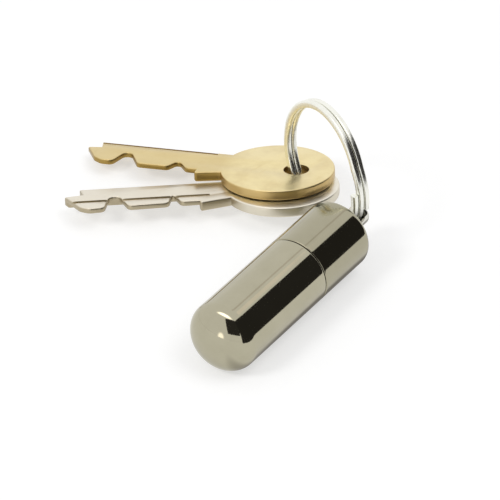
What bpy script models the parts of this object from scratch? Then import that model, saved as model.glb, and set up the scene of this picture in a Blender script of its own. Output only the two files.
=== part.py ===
"""Fire starter keychain: a capsule petrol lighter on a split ring with two keys.

Metres, +Z up. The capsule lies on its side along +Y, from its dome to its cap, and the
split ring stands through the post on the cap. The origin is in the middle of the whole
group, on the surface that it lies on.
"""

import math
from dataclasses import dataclass

import bmesh
import bpy
from mathutils import Matrix, Vector

MM = 0.001

# Where the capsule lies from the middle of the group
CAPSULE_X = 28.31 * MM
DOME_TIP_Y = -35.13 * MM

# Clearances
SEAT_GAP = 0.15 * MM
SEAL_GAP = 0.10 * MM
RUNNING_GAP = 0.15 * MM
THREAD_GAP = 0.15 * MM
SEAM_GAP = 0.25 * MM
COIL_GAP = 0.42 * MM

# Tank, the domed part of the capsule
CAPSULE_RADIUS = 7.5 * MM
TANK_LENGTH = 29.7 * MM
DOME_CROWN_RADIUS = 9.2 * MM
DOME_SHOULDER_RADIUS = 1.6 * MM
DOME_WALL = 3.2 * MM
NECK_WALL = 1.05 * MM
BORE_FLOOR_FILLET = 0.8 * MM
SHOULDER_WIDTH = 1.5 * MM
NECK_LENGTH = 6.0 * MM
NECK_CHAMFER = 0.4 * MM
RIM_ROUND = 0.2 * MM

# O-ring that seals the cap, between the tank's shoulder and a ledge in the cap's mouth
CAP_SEAL_CORD = 0.8 * MM

# Cap
CAP_LENGTH = 15.05 * MM
CAP_FILLET = 1.5 * MM
CAP_CROWN_RISE = 0.5 * MM
CAP_END_WALL = 1.7 * MM
CAP_MOUTH_LEAD = 0.3 * MM

# Post on the cap, with the cross hole for the split ring
POST_RADIUS = 2.3 * MM
POST_LENGTH = 7.6 * MM
POST_END_ROUND = 1.3 * MM
POST_HOLE_FROM_CROWN = 4.15 * MM
POST_HOLE_RADIUS = 1.65 * MM
POST_HOLE_FLARE = 0.5 * MM
TENON_RADIUS = 1.4 * MM
RIVET_RADIUS = 2.2 * MM
RIVET_THICKNESS = 0.5 * MM

# Insert, the lighter that pulls out of the tank
BARREL_ABOVE_FLOOR = 1.8 * MM
BARREL_WALL = 0.35 * MM
SPIGOT_LENGTH = 1.4 * MM
PLUG_LENGTH = 3.25 * MM
FLANGE_INSET = 0.25 * MM
FLANGE_THICKNESS = 1.0 * MM
FLANGE_CHAMFER = 0.25 * MM
PLUG_SEAL_CORD = 0.8 * MM
FLINT_SHARE = 0.4045
WICK_SHARE = 0.5618

# Flint with its tube, plunger, spring and screw
FLINT_RADIUS = 1.15 * MM
FLINT_LENGTH = 4.5 * MM
FLINT_TUBE_WALL = 0.3 * MM
FLINT_TUBE_STANDS = 0.35 * MM
PLUNGER_HEAD = 1.0 * MM
PLUNGER_STEM = 1.8 * MM
PLUNGER_STEM_RADIUS = 0.5 * MM
SPRING_WIRE_RADIUS = 0.18 * MM
SPRING_TURNS = 18
SPRING_POINTS_PER_TURN = 9
SCREW_SHANK = 2.9 * MM
SCREW_HEAD_RADIUS = 2.2 * MM
SCREW_HEAD_THICKNESS = 0.9 * MM
SCREW_SLOT_WIDTH = 0.6 * MM
SCREW_SLOT_DEPTH = 0.4 * MM

# Felt, wadding and wick
FELT_THICKNESS = 1.6 * MM
FELT_INSET = 1.1 * MM
WADDING_GAP = 0.2 * MM
WICK_RADIUS = 0.8 * MM
WICK_DEPTH = 17.0 * MM
WICK_STANDS = 3.4 * MM

# Spark wheel, axle and bracket
WHEEL_TO_WICK = 0.6 * MM
WHEEL_TOOTH_DEPTH = 0.32 * MM
WHEEL_TEETH = 28
WHEEL_WIDTH = 2.6 * MM
WHEEL_TO_FLINT = 0.25 * MM
WHEEL_SIDE_GAP = 0.3 * MM
AXLE_RADIUS = 0.6 * MM
AXLE_HEAD_RADIUS = 1.05 * MM
AXLE_HEAD_THICKNESS = 0.4 * MM
BRACKET_SHEET = 0.5 * MM
EAR_RADIUS = 2.0 * MM
FOOT_BEYOND_EARS = 0.5 * MM

# Split ring: flat sprung wire, a little over two turns
RING_RADIUS = 13.2 * MM
STRAND_THICKNESS = 1.6 * MM
STRAND_WIDTH = 0.9 * MM
STRAND_ROUND = 0.25 * MM
RING_TURNS = 2.05
RING_JOG = math.radians(24.0)
RING_STEPS_PER_TURN = 60
RING_AZIMUTH = math.radians(24.0)
RING_LEAN = math.radians(-2.4)
POST_ON_RING = math.radians(-149.5)
RING_START = math.radians(-184.0)

# Keys, lying on each other on the ring
KEYS_ON_RING = math.radians(-34.4)
KEY_TILT = math.radians(12.0)
KEY_ROLL = math.radians(1.5)
KEY_THICKNESS = 2.2 * MM
KEY_STACK_GAP = 0.3 * MM
KEY_EDGE_ROUND = 0.2 * MM
BOW_RADIUS = 12.0 * MM
BOW_FROM_HOLE = 4.1 * MM
KEY_HOLE_RADIUS = 2.7 * MM
STOP_CORNER = 6.6 * MM
STOP_AT_BOW = 4.8 * MM
MILLED_WEB = 1.1 * MM
GROOVE_WIDTH = 1.0 * MM
GROOVE_DEPTH = 0.35 * MM
NOSE_LENGTH = 4.7 * MM
NOSE_DROP = 1.2 * MM
POINT_FROM_BACK = 3.2 * MM
BACK_NOTCH = 0.6 * MM
CUT_ROUND = 1.1 * MM
NOSE_ROUND = 2.0 * MM


@dataclass(frozen=True)
class Cut:
    """One cut in a blade: its corners as shares of the way from shoulder to tip."""

    tip_side: float
    root_start: float
    root_end: float
    bow_side: float
    root: float


@dataclass(frozen=True)
class Blade:
    """What sets one key apart: the way it points, its edges across and its cuts."""

    direction: float
    length: float
    back_step: float
    shoulder: float
    far_edge: float
    tip_edge: float
    shoulder_edge: float
    milled_from: float
    groove_at: float
    cuts: tuple


BRASS_BLADE = Blade(
    direction=math.radians(197.0),
    length=46.4 * MM,
    back_step=2.2 * MM,
    shoulder=20.5 * MM,
    far_edge=-4.4 * MM,
    tip_edge=4.57 * MM,
    shoulder_edge=4.57 * MM,
    milled_from=-2.4 * MM,
    groove_at=-3.4 * MM,
    cuts=(
        Cut(0.719, 0.671, 0.605, 0.504, 0.0 * MM),
        Cut(0.243, 0.199, 0.161, 0.089, 2.15 * MM),
    ),
)
NICKEL_BLADE = Blade(
    direction=math.radians(219.5),
    length=49.3 * MM,
    back_step=3.2 * MM,
    shoulder=21.6 * MM,
    far_edge=-3.3 * MM,
    tip_edge=6.7 * MM,
    shoulder_edge=5.5 * MM,
    milled_from=0.7 * MM,
    groove_at=3.1 * MM,
    cuts=(
        Cut(0.715, 0.672, 0.592, 0.534, 1.3 * MM),
        Cut(0.234, 0.205, 0.181, 0.139, 2.4 * MM),
    ),
)

# Facets
CAPSULE_SEGMENTS = 48
SMALL_SEGMENTS = 24
ARC_STEP = math.radians(15.0)

# Worked out radii
NECK_RADIUS = CAPSULE_RADIUS - SHOULDER_WIDTH
BORE_RADIUS = NECK_RADIUS - NECK_WALL
FLANGE_RADIUS = NECK_RADIUS - FLANGE_INSET
BARREL_RADIUS = BORE_RADIUS - RUNNING_GAP
BARREL_INSIDE = BARREL_RADIUS - BARREL_WALL
SPIGOT_RADIUS = BARREL_INSIDE - SEAT_GAP
CAP_THREAD_RADIUS = NECK_RADIUS + THREAD_GAP
CAP_SEAL_RADIUS = NECK_RADIUS + SEAL_GAP + CAP_SEAL_CORD / 2
CAP_MOUTH_RADIUS = CAP_SEAL_RADIUS + CAP_SEAL_CORD / 2 + SEAL_GAP
PLUG_SEAL_RADIUS = BORE_RADIUS - SEAL_GAP - PLUG_SEAL_CORD / 2
PLUG_GROOVE_RADIUS = PLUG_SEAL_RADIUS - PLUG_SEAL_CORD / 2 - SEAL_GAP
FLINT_TUBE_INSIDE = FLINT_RADIUS + 0.2 * MM
FLINT_TUBE_RADIUS = FLINT_TUBE_INSIDE + FLINT_TUBE_WALL
FLINT_OFFSET = BARREL_INSIDE * FLINT_SHARE
WICK_OFFSET = BARREL_INSIDE * WICK_SHARE
WHEEL_RADIUS = FLINT_OFFSET + WICK_OFFSET - WICK_RADIUS - WHEEL_TO_WICK
SPRING_RADIUS = FLINT_TUBE_INSIDE - SPRING_WIRE_RADIUS - 0.25 * MM

# Worked out along the capsule's axis, from the dome's tip
NECK_TOP = TANK_LENGTH + NECK_LENGTH
CAP_SHOULDER = TANK_LENGTH + CAP_LENGTH
CROWN_EDGE = CAP_SHOULDER + CAP_FILLET
CROWN_TOP = CROWN_EDGE + CAP_CROWN_RISE
CAP_CEILING = CROWN_TOP - CAP_END_WALL
POST_END = CROWN_TOP + POST_LENGTH
POST_HOLE = CROWN_TOP + POST_HOLE_FROM_CROWN
FLANGE_BOTTOM = NECK_TOP + SEAT_GAP
FLANGE_TOP = FLANGE_BOTTOM + FLANGE_THICKNESS
PLUG_BOTTOM = FLANGE_BOTTOM - PLUG_LENGTH
BARREL_TOP = PLUG_BOTTOM - SEAT_GAP
BARREL_BOTTOM = DOME_WALL + BARREL_ABOVE_FLOOR
FELT_BOTTOM = BARREL_BOTTOM + FELT_INSET
FELT_TOP = FELT_BOTTOM + FELT_THICKNESS
FLINT_TUBE_TOP = FLANGE_TOP + FLINT_TUBE_STANDS
FLINT_TUBE_BOTTOM = FELT_BOTTOM - SEAT_GAP
FLINT_TOP = FLINT_TUBE_TOP + WHEEL_TO_FLINT
WHEEL_CENTRE = FLINT_TOP + WHEEL_TO_FLINT + WHEEL_RADIUS
PLUNGER_TOP = FLINT_TOP - FLINT_LENGTH - SEAT_GAP
PLUNGER_SHOULDER = PLUNGER_TOP - PLUNGER_HEAD
SCREW_SHANK_TOP = FLINT_TUBE_BOTTOM - SEAT_GAP + SCREW_SHANK
RING_PITCH = STRAND_WIDTH + COIL_GAP
SEAL_SPAN = CAP_SEAL_CORD / 2 + SEAL_GAP
PLUG_SEAL_SPAN = PLUG_SEAL_CORD / 2 + SEAL_GAP
PLUG_SEAL_AT = (PLUG_BOTTOM + FLANGE_BOTTOM) / 2
CAP_SEAL_AT = TANK_LENGTH + SEAL_SPAN


def linear(channel):
    """One sRGB channel, 0 to 1, as linear light."""
    return channel / 12.92 if channel <= 0.04045 else ((channel + 0.055) / 1.055) ** 2.4


def material(name, colour, metallic, roughness):
    """A Principled material from a hex colour."""
    made = bpy.data.materials.new(name)
    made.use_nodes = True
    shader = made.node_tree.nodes["Principled BSDF"]
    rgb = [linear(int(colour[i : i + 2], 16) / 255) for i in (0, 2, 4)]
    shader.inputs["Base Color"].default_value = (*rgb, 1.0)
    shader.inputs["Metallic"].default_value = metallic
    shader.inputs["Roughness"].default_value = roughness
    made.diffuse_color = (*rgb, 1.0)
    return made


class Kit:
    """The collections, the frames and the finishes that the pieces share."""

    def __init__(self):
        self.parts = self.collection("fire_starter_keychain")
        self.cutters = self.collection("cutters")
        self.cutters.hide_render = True
        self.chrome = material("polished_chrome", "B3AF9A", 1.0, 0.12)
        self.nickel_plate = material("nickel_plate", "C9C5BA", 1.0, 0.25)
        self.brass = material("key_brass", "DCC38C", 1.0, 0.32)
        self.nickel_silver = material("key_nickel_silver", "E1DCCD", 1.0, 0.3)
        self.tube_brass = material("tube_brass", "C9A25A", 1.0, 0.3)
        self.steel = material("hardened_steel", "6E6C69", 1.0, 0.4)
        self.spring_steel = material("spring_steel", "A9A9A6", 1.0, 0.3)
        self.rubber = material("black_rubber", "1C1B1A", 0.0, 0.6)
        self.flint_metal = material("flint_metal", "57534E", 1.0, 0.6)
        self.cotton = material("cotton", "E9E4D6", 0.0, 0.95)
        self.felt = material("felt", "CFC7B4", 0.0, 0.95)
        self.capsule = self.empty("capsule_axis", capsule_frame())
        self.insert = self.empty("insert_slide", capsule_frame())
        self.wheel = self.empty("wheel_axis", wheel_frame())
        self.ring = self.empty("ring_pivot", ring_frame())

    def collection(self, name):
        """A new collection in the scene."""
        made = bpy.data.collections.new(name)
        bpy.context.scene.collection.children.link(made)
        return made

    def empty(self, name, frame):
        """An empty that a group of pieces is placed by."""
        made = bpy.data.objects.new(name, None)
        made.matrix_world = frame
        made.empty_display_size = 2 * MM
        self.parts.objects.link(made)
        return made


def frame_of(origin, x_axis, y_axis, z_axis):
    """A placement from an origin and three axes."""
    turn = Matrix((x_axis, y_axis, z_axis)).transposed()
    return Matrix.Translation(origin) @ turn.to_4x4()


def capsule_frame():
    """+Z runs along the capsule from the dome's tip, +X across from flint to wick."""
    origin = Vector((CAPSULE_X, DOME_TIP_Y, CAPSULE_RADIUS))
    return frame_of(origin, Vector((1, 0, 0)), Vector((0, 0, -1)), Vector((0, 1, 0)))


def wheel_frame():
    """At the spark wheel's centre, with +Z along its axle."""
    centre = capsule_frame() @ Vector((-FLINT_OFFSET, 0, WHEEL_CENTRE))
    return frame_of(centre, Vector((1, 0, 0)), Vector((0, 1, 0)), Vector((0, 0, 1)))


def ring_axes():
    """Across the ring, up the ring and along its axis."""
    level = math.cos(RING_LEAN)
    axis = Vector((math.sin(RING_AZIMUTH) * level, math.cos(RING_AZIMUTH) * level, math.sin(RING_LEAN)))
    across = Vector((0, 0, 1)).cross(axis).normalized()
    return across, axis.cross(across), axis


def on_circle(angle):
    """The point of the ring's middle circle at an angle, from the ring's centre."""
    across, up, _ = ring_axes()
    return RING_RADIUS * (math.cos(angle) * across + math.sin(angle) * up)


def ring_tangent(angle):
    """The ring's direction at an angle, the way the angle grows."""
    across, up, _ = ring_axes()
    return -math.sin(angle) * across + math.cos(angle) * up


def post_hole_centre():
    """The middle of the post's cross hole, in the world."""
    return capsule_frame() @ Vector((0, 0, POST_HOLE))


def post_hole_direction():
    """Square to the post, as near as can be to the ring's own direction there."""
    along_post = Vector((0, 1, 0))
    wire = -ring_tangent(POST_ON_RING)
    return (wire - wire.dot(along_post) * along_post).normalized()


def ring_frame():
    """At the middle of the post's hole, turned with the ring."""
    return frame_of(post_hole_centre(), *ring_axes())


def strand_drift(turned):
    """How far the wire lies along the ring's axis after an angle.

    Each turn is flat except for a jog at either end, where it makes room for the next.
    """
    turns, along = divmod(turned, 2 * math.pi)
    rising = min(1.0, along / RING_JOG) + max(0.0, 1.0 + (along - 2 * math.pi) / RING_JOG)
    return RING_PITCH * (turns - 1.0 + rising / 2)


def ring_middle(angle):
    """A point of the ring's middle circle, in the world."""
    return post_hole_centre() + on_circle(angle) - on_circle(POST_ON_RING)


def key_normal():
    """Up from a key's face: the near side is raised, and the tip end lies lower."""
    photo_turn = Matrix.Rotation(math.radians(34.5), 3, "Z")
    right = Vector((math.cos(KEY_ROLL), 0, math.sin(KEY_ROLL)))
    away = Vector((0, math.cos(KEY_TILT), -math.sin(KEY_TILT)))
    return photo_turn @ right.cross(away).normalized()


def key_frame(direction, below):
    """At the middle of a key's hole, +X to its tip and +Z up from its face.

    The key is threaded on the ring, its upper face a given depth below the point of
    the ring at KEYS_ON_RING.
    """
    up = key_normal()
    flat = Vector((math.cos(direction), math.sin(direction), 0))
    along = (flat - flat.dot(up) * up).normalized()
    anchor = ring_middle(KEYS_ON_RING) - (below + KEY_THICKNESS / 2) * up
    angle = KEYS_ON_RING
    step = math.radians(0.25)
    while (ring_middle(angle) - anchor).dot(up) > 0:
        angle -= step
    return frame_of(ring_middle(angle), along, up.cross(along), up)


def arc(centre_x, centre_y, radius, start, end):
    """Points along an arc, both ends included, in degrees."""
    sweep = math.radians(end - start)
    steps = max(2, math.ceil(abs(sweep) / ARC_STEP))
    angles = [math.radians(start) + sweep * i / steps for i in range(steps + 1)]
    return [(centre_x + radius * math.cos(a), centre_y + radius * math.sin(a)) for a in angles]


def link(kit, name, data, finish, parent, helper=False):
    """An object in its collection, with its finish, in its parent's frame."""
    made = bpy.data.objects.new(name, data)
    (kit.cutters if helper else kit.parts).objects.link(made)
    made.parent = parent
    if finish:
        data.materials.append(finish)
    if helper:
        made.hide_render = True
        made.display_type = "WIRE"
    return made


def turned(kit, name, profile, finish, parent, closed=True, segments=CAPSULE_SEGMENTS, helper=False):
    """A turned piece: the profile runs down its outer side and up its inner side."""
    mesh = bpy.data.meshes.new(name)
    count = len(profile)
    edges = [(i, (i + 1) % count) for i in range(count if closed else count - 1)]
    mesh.from_pydata([(x, 0, z) for x, z in profile], edges, [])
    made = link(kit, name, mesh, finish, parent, helper)
    screw = made.modifiers.new("turn", "SCREW")
    screw.axis = "Z"
    screw.angle = 2 * math.pi
    screw.steps = segments
    screw.render_steps = segments
    screw.use_merge_vertices = True
    screw.merge_threshold = 0.000001
    screw.use_smooth_shade = True
    return made


def rod(kit, name, radius, bottom, top, finish, parent, segments=SMALL_SEGMENTS, edge=0.0, helper=False):
    """A plain turned rod, with chamfered ends where an edge is given."""
    profile = [(0, top), (radius - edge, top), (radius, top - edge), (radius, bottom + edge)]
    profile += [(radius - edge, bottom), (0, bottom)]
    if not edge:
        profile = [(0, top), (radius, top), (radius, bottom), (0, bottom)]
    return turned(kit, name, profile, finish, parent, closed=False, segments=segments, helper=helper)


def tube(kit, name, outside, inside, bottom, top, finish, parent, segments=SMALL_SEGMENTS):
    """A plain turned tube."""
    profile = [(outside, top), (outside, bottom), (inside, bottom), (inside, top)]
    return turned(kit, name, profile, finish, parent, segments=segments)


def o_ring(kit, name, radius, cord, at, finish, parent, segments):
    """A rubber ring of round cord."""
    sides = 10
    angles = [2 * math.pi * i / sides for i in range(sides)]
    profile = [(radius + cord / 2 * math.cos(a), at - cord / 2 * math.sin(a)) for a in angles]
    return turned(kit, name, profile, finish, parent, segments=segments)


def flat_outline(kit, name, outlines, thickness, finish, parent, edge=0.0, helper=False):
    """A flat piece from closed outlines, where an inner one is a hole."""
    curve = bpy.data.curves.new(name, "CURVE")
    curve.dimensions = "2D"
    curve.fill_mode = "BOTH"
    curve.extrude = thickness / 2 - edge
    curve.bevel_depth = edge
    curve.bevel_resolution = 0
    curve.offset = -edge
    for outline in outlines:
        spline = curve.splines.new("POLY")
        spline.points.add(len(outline) - 1)
        for point, (x, y) in zip(spline.points, outline):
            point.co = (x, y, 0, 1)
        spline.use_cyclic_u = True
    return link(kit, name, curve, finish, parent, helper)


def as_mesh(kit, shape, helper=False):
    """The same object as a closed mesh, with the curve's loose caps welded."""
    bpy.context.view_layer.update()
    graph = bpy.context.evaluated_depsgraph_get()
    mesh = bpy.data.meshes.new_from_object(shape.evaluated_get(graph))
    name = shape.name
    parent = shape.parent
    place = shape.matrix_world.copy()
    basis = shape.matrix_basis.copy()
    finishes = [slot.material for slot in shape.material_slots]
    bpy.data.objects.remove(shape, do_unlink=True)
    work = bmesh.new()
    work.from_mesh(mesh)
    bmesh.ops.remove_doubles(work, verts=work.verts, dist=0.000002)
    bmesh.ops.recalc_face_normals(work, faces=work.faces)
    work.to_mesh(mesh)
    work.free()
    mesh.name = name
    mesh.materials.clear()
    made = link(kit, name, mesh, finishes[0] if finishes else None, parent, helper)
    if parent:
        made.matrix_basis = basis
    else:
        made.matrix_world = place
    return made


def cut(piece, cutter, operation="DIFFERENCE"):
    """Cut a piece with a cutter, or join it on."""
    change = piece.modifiers.new(cutter.name, "BOOLEAN")
    change.operation = operation
    change.solver = "EXACT"
    change.object = cutter
    return piece


def smooth(piece, degrees=35.0):
    """Smooth shading that keeps the hard edges."""
    piece.data.shade_smooth()
    piece.data.set_sharp_from_angle(angle=math.radians(degrees))


def block(kit, name, low, high, parent):
    """A box cutter between two corners."""
    mesh = bpy.data.meshes.new(name)
    work = bmesh.new()
    bmesh.ops.create_cube(work, size=1.0)
    middle = [(a + b) / 2 for a, b in zip(low, high)]
    size = [b - a for a, b in zip(low, high)]
    bmesh.ops.scale(work, vec=size, verts=work.verts)
    bmesh.ops.translate(work, vec=middle, verts=work.verts)
    work.to_mesh(mesh)
    work.free()
    return link(kit, name, mesh, None, parent, helper=True)


def dome_profile():
    """The dome from the cylinder down to its tip: a shoulder round and a low crown."""
    reach = CAPSULE_RADIUS - DOME_SHOULDER_RADIUS
    between = DOME_CROWN_RADIUS - DOME_SHOULDER_RADIUS
    drop = math.sqrt(between**2 - reach**2)
    shoulder_at = DOME_CROWN_RADIUS - drop
    lean = math.degrees(math.atan2(drop, reach))
    shoulder = arc(reach, shoulder_at, DOME_SHOULDER_RADIUS, 0, -lean)
    crown = arc(0, DOME_CROWN_RADIUS, DOME_CROWN_RADIUS, -lean, -90)[1:-1]
    return shoulder + crown + [(0, 0)]


def tank_shell(kit):
    """The domed tank, bored from its neck."""
    floor_round = arc(
        BORE_RADIUS - BORE_FLOOR_FILLET, DOME_WALL + BORE_FLOOR_FILLET, BORE_FLOOR_FILLET, -90, 0
    )
    profile = [(0, DOME_WALL)] + floor_round
    profile += [
        (BORE_RADIUS, NECK_TOP),
        (NECK_RADIUS - NECK_CHAMFER, NECK_TOP),
        (NECK_RADIUS, NECK_TOP - NECK_CHAMFER),
        (NECK_RADIUS, TANK_LENGTH),
        (CAPSULE_RADIUS - RIM_ROUND, TANK_LENGTH),
        (CAPSULE_RADIUS, TANK_LENGTH - RIM_ROUND),
    ]
    return turned(kit, "tank_shell", profile + dome_profile(), kit.chrome, kit.capsule, closed=False)


def crown_drop(radius):
    """How far the cap's low crown has dropped from its top at a radius."""
    sphere = ((CAPSULE_RADIUS - CAP_FILLET) ** 2 + CAP_CROWN_RISE**2) / (2 * CAP_CROWN_RISE)
    return sphere - math.sqrt(sphere**2 - radius**2)


def cap_shell(kit):
    """The cap: a cup with a low crown, bored for the neck and for the post's tenon."""
    rim = TANK_LENGTH + SEAM_GAP
    mouth_end = CAP_SEAL_AT + SEAL_SPAN
    seat = POST_RADIUS + SEAT_GAP
    crown = []
    for share in (1.0, 0.66, 0.33, 0.0):
        radius = seat + (CAPSULE_RADIUS - CAP_FILLET - seat) * (1 - share)
        crown.append((radius, CROWN_TOP - crown_drop(radius)))
    fillet = arc(CAPSULE_RADIUS - CAP_FILLET, CAP_SHOULDER, CAP_FILLET, 90, 0)[1:]
    hole = TENON_RADIUS + SEAT_GAP
    profile = [(hole, crown[0][1])] + crown + fillet
    profile += [
        (CAPSULE_RADIUS, rim + RIM_ROUND),
        (CAPSULE_RADIUS - RIM_ROUND, rim),
        (CAP_MOUTH_RADIUS, rim),
        (CAP_MOUTH_RADIUS, mouth_end),
        (CAP_THREAD_RADIUS, mouth_end + CAP_MOUTH_LEAD),
        (CAP_THREAD_RADIUS, CAP_CEILING),
        (hole, CAP_CEILING),
    ]
    return turned(kit, "cap_shell", profile, kit.chrome, kit.capsule)


def ring_post(kit):
    """The post, its tenon through the cap's crown and the head that holds it."""
    foot = CROWN_TOP - crown_drop(POST_RADIUS + SEAT_GAP) + SEAT_GAP
    head_top = CAP_CEILING - SEAT_GAP
    end = arc(POST_RADIUS - POST_END_ROUND, POST_END - POST_END_ROUND, POST_END_ROUND, 90, 0)
    profile = [(0, POST_END)] + end
    profile += [
        (POST_RADIUS, foot),
        (TENON_RADIUS, foot),
        (TENON_RADIUS, head_top),
        (RIVET_RADIUS, head_top),
        (RIVET_RADIUS, head_top - RIVET_THICKNESS / 2),
        (RIVET_RADIUS - RIVET_THICKNESS / 2, head_top - RIVET_THICKNESS),
        (0, head_top - RIVET_THICKNESS),
    ]
    post = turned(kit, "ring_post", profile, kit.chrome, kit.capsule, closed=False, segments=32)
    reach = POST_RADIUS + 0.5 * MM
    flared = []
    for step in range(8, -9, -2):
        share = step / 8
        flared.append((POST_HOLE_RADIUS + POST_HOLE_FLARE * share**2, reach * share))
    profile = [(0, reach)] + flared + [(0, -reach)]
    drill = turned(kit, "post_hole", profile, None, None, closed=False, segments=32, helper=True)
    toward = post_hole_direction()
    side = toward.cross(Vector((0, 1, 0))).normalized()
    drill.matrix_world = frame_of(post_hole_centre(), side, toward.cross(side), toward)
    return cut(post, drill)


def insert_collar(kit):
    """Flange, plug with the seal's groove, and the spigot that the barrel sits on."""
    groove = (PLUG_SEAL_AT + PLUG_SEAL_SPAN, PLUG_SEAL_AT - PLUG_SEAL_SPAN)
    profile = [
        (0, FLANGE_TOP),
        (FLANGE_RADIUS - FLANGE_CHAMFER, FLANGE_TOP),
        (FLANGE_RADIUS, FLANGE_TOP - FLANGE_CHAMFER),
        (FLANGE_RADIUS, FLANGE_BOTTOM),
        (BARREL_RADIUS, FLANGE_BOTTOM),
        (BARREL_RADIUS, groove[0]),
        (PLUG_GROOVE_RADIUS, groove[0]),
        (PLUG_GROOVE_RADIUS, groove[1]),
        (BARREL_RADIUS, groove[1]),
        (BARREL_RADIUS, PLUG_BOTTOM),
        (SPIGOT_RADIUS, PLUG_BOTTOM),
        (SPIGOT_RADIUS, PLUG_BOTTOM - SPIGOT_LENGTH),
        (0, PLUG_BOTTOM - SPIGOT_LENGTH),
    ]
    collar = turned(kit, "insert_collar", profile, kit.nickel_plate, kit.insert, closed=False, segments=40)
    below = PLUG_BOTTOM - 2 * SPIGOT_LENGTH
    above = FLANGE_TOP + SPIGOT_LENGTH
    tube_radius = FLINT_TUBE_RADIUS + SEAL_GAP
    tube_hole = rod(kit, "flint_tube_hole", tube_radius, below, above, None, kit.insert, helper=True)
    tube_hole.location.x = -FLINT_OFFSET
    wick_hole = rod(kit, "wick_hole", WICK_RADIUS + SEAT_GAP, below, above, None, kit.insert, helper=True)
    wick_hole.location.x = WICK_OFFSET
    return cut(cut(collar, tube_hole), wick_hole)


def insert_barrel(kit):
    """The barrel that holds the wadding, open below for the felt pad."""
    return tube(
        kit, "insert_barrel", BARREL_RADIUS, BARREL_INSIDE, BARREL_BOTTOM, BARREL_TOP,
        kit.nickel_plate, kit.insert, segments=40,
    )


def seals(kit):
    """The cap's O-ring and the one that grips the insert in its bore."""
    o_ring(kit, "cap_seal", CAP_SEAL_RADIUS, CAP_SEAL_CORD, CAP_SEAL_AT, kit.rubber, kit.capsule, 40)
    o_ring(kit, "insert_seal", PLUG_SEAL_RADIUS, PLUG_SEAL_CORD, PLUG_SEAL_AT, kit.rubber, kit.insert, 32)


def at_flint(piece):
    """Move a piece of the insert over to the flint's line."""
    piece.location.x = -FLINT_OFFSET
    return piece


def flint_tube(kit):
    """The tube for flint and spring, from the felt up through the flange."""
    return at_flint(tube(
        kit, "flint_tube", FLINT_TUBE_RADIUS, FLINT_TUBE_INSIDE, FLINT_TUBE_BOTTOM, FLINT_TUBE_TOP,
        kit.tube_brass, kit.insert,
    ))


def flint(kit):
    """The flint, its top just clear of the wheel's teeth."""
    bottom = FLINT_TOP - FLINT_LENGTH
    edge = FLINT_RADIUS / 8
    made = rod(kit, "flint", FLINT_RADIUS, bottom, FLINT_TOP, kit.flint_metal, kit.insert, edge=edge)
    return at_flint(made)


def flint_plunger(kit):
    """Pushes the flint: a head on a stem that sits in the spring."""
    stem_end = PLUNGER_SHOULDER - PLUNGER_STEM
    profile = [
        (0, PLUNGER_TOP),
        (FLINT_RADIUS, PLUNGER_TOP),
        (FLINT_RADIUS, PLUNGER_SHOULDER),
        (PLUNGER_STEM_RADIUS, PLUNGER_SHOULDER),
        (PLUNGER_STEM_RADIUS, stem_end),
        (0, stem_end),
    ]
    return at_flint(turned(
        kit, "flint_plunger", profile, kit.tube_brass, kit.insert, closed=False, segments=SMALL_SEGMENTS,
    ))


def flint_spring(kit):
    """A compression spring between the screw and the plunger, wound as one wire."""
    bottom = SCREW_SHANK_TOP + SEAT_GAP + SPRING_WIRE_RADIUS
    top = PLUNGER_SHOULDER - SEAT_GAP - SPRING_WIRE_RADIUS
    steps = SPRING_TURNS * SPRING_POINTS_PER_TURN
    curve = bpy.data.curves.new("flint_spring", "CURVE")
    curve.dimensions = "3D"
    curve.bevel_depth = SPRING_WIRE_RADIUS
    curve.bevel_resolution = 1
    curve.use_fill_caps = True
    spline = curve.splines.new("POLY")
    spline.points.add(steps)
    points = []
    for step, point in enumerate(spline.points):
        angle = 2 * math.pi * step / SPRING_POINTS_PER_TURN
        height = bottom + (top - bottom) * step / steps
        points.append(Vector((SPRING_RADIUS * math.cos(angle), SPRING_RADIUS * math.sin(angle), height)))
        point.co = (*points[-1], 1)
    print_least_gap("flint_spring", points, SPRING_POINTS_PER_TURN, 2 * SPRING_WIRE_RADIUS)
    return at_flint(link(kit, "flint_spring", curve, kit.spring_steel, kit.insert))


def off_segment(point, start, end):
    """How far a point is from a straight piece of wire."""
    run = end - start
    share = max(0.0, min(1.0, (point - start).dot(run) / run.length_squared))
    return (point - start - share * run).length


def print_least_gap(name, points, per_turn, width):
    """Print the least gap between one turn of a winding and the next."""
    nearest = min(
        off_segment(points[i], points[j], points[j + 1])
        for i in range(len(points))
        for j in range(i + per_turn // 2, min(i + 2 * per_turn, len(points) - 1))
    )
    print(name + ": least gap to itself, mm:", round((nearest - width) / MM, 3))


def spring_screw(kit):
    """The slotted screw that closes the flint tube."""
    head_top = FLINT_TUBE_BOTTOM - SEAT_GAP
    head_bottom = head_top - SCREW_HEAD_THICKNESS
    shank = FLINT_TUBE_INSIDE - SEAT_GAP
    edge = SCREW_HEAD_THICKNESS / 4
    profile = [
        (0, SCREW_SHANK_TOP),
        (shank, SCREW_SHANK_TOP),
        (shank, head_top),
        (SCREW_HEAD_RADIUS, head_top),
        (SCREW_HEAD_RADIUS, head_bottom + edge),
        (SCREW_HEAD_RADIUS - edge, head_bottom),
        (0, head_bottom),
    ]
    screw = at_flint(turned(
        kit, "spring_screw", profile, kit.tube_brass, kit.insert, closed=False, segments=SMALL_SEGMENTS,
    ))
    reach = 2 * SCREW_HEAD_RADIUS
    low = (-reach, -SCREW_SLOT_WIDTH / 2, head_bottom - SCREW_HEAD_THICKNESS)
    high = (reach, SCREW_SLOT_WIDTH / 2, head_bottom + SCREW_SLOT_DEPTH)
    return cut(screw, at_flint(block(kit, "screw_slot", low, high, kit.insert)))


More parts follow.
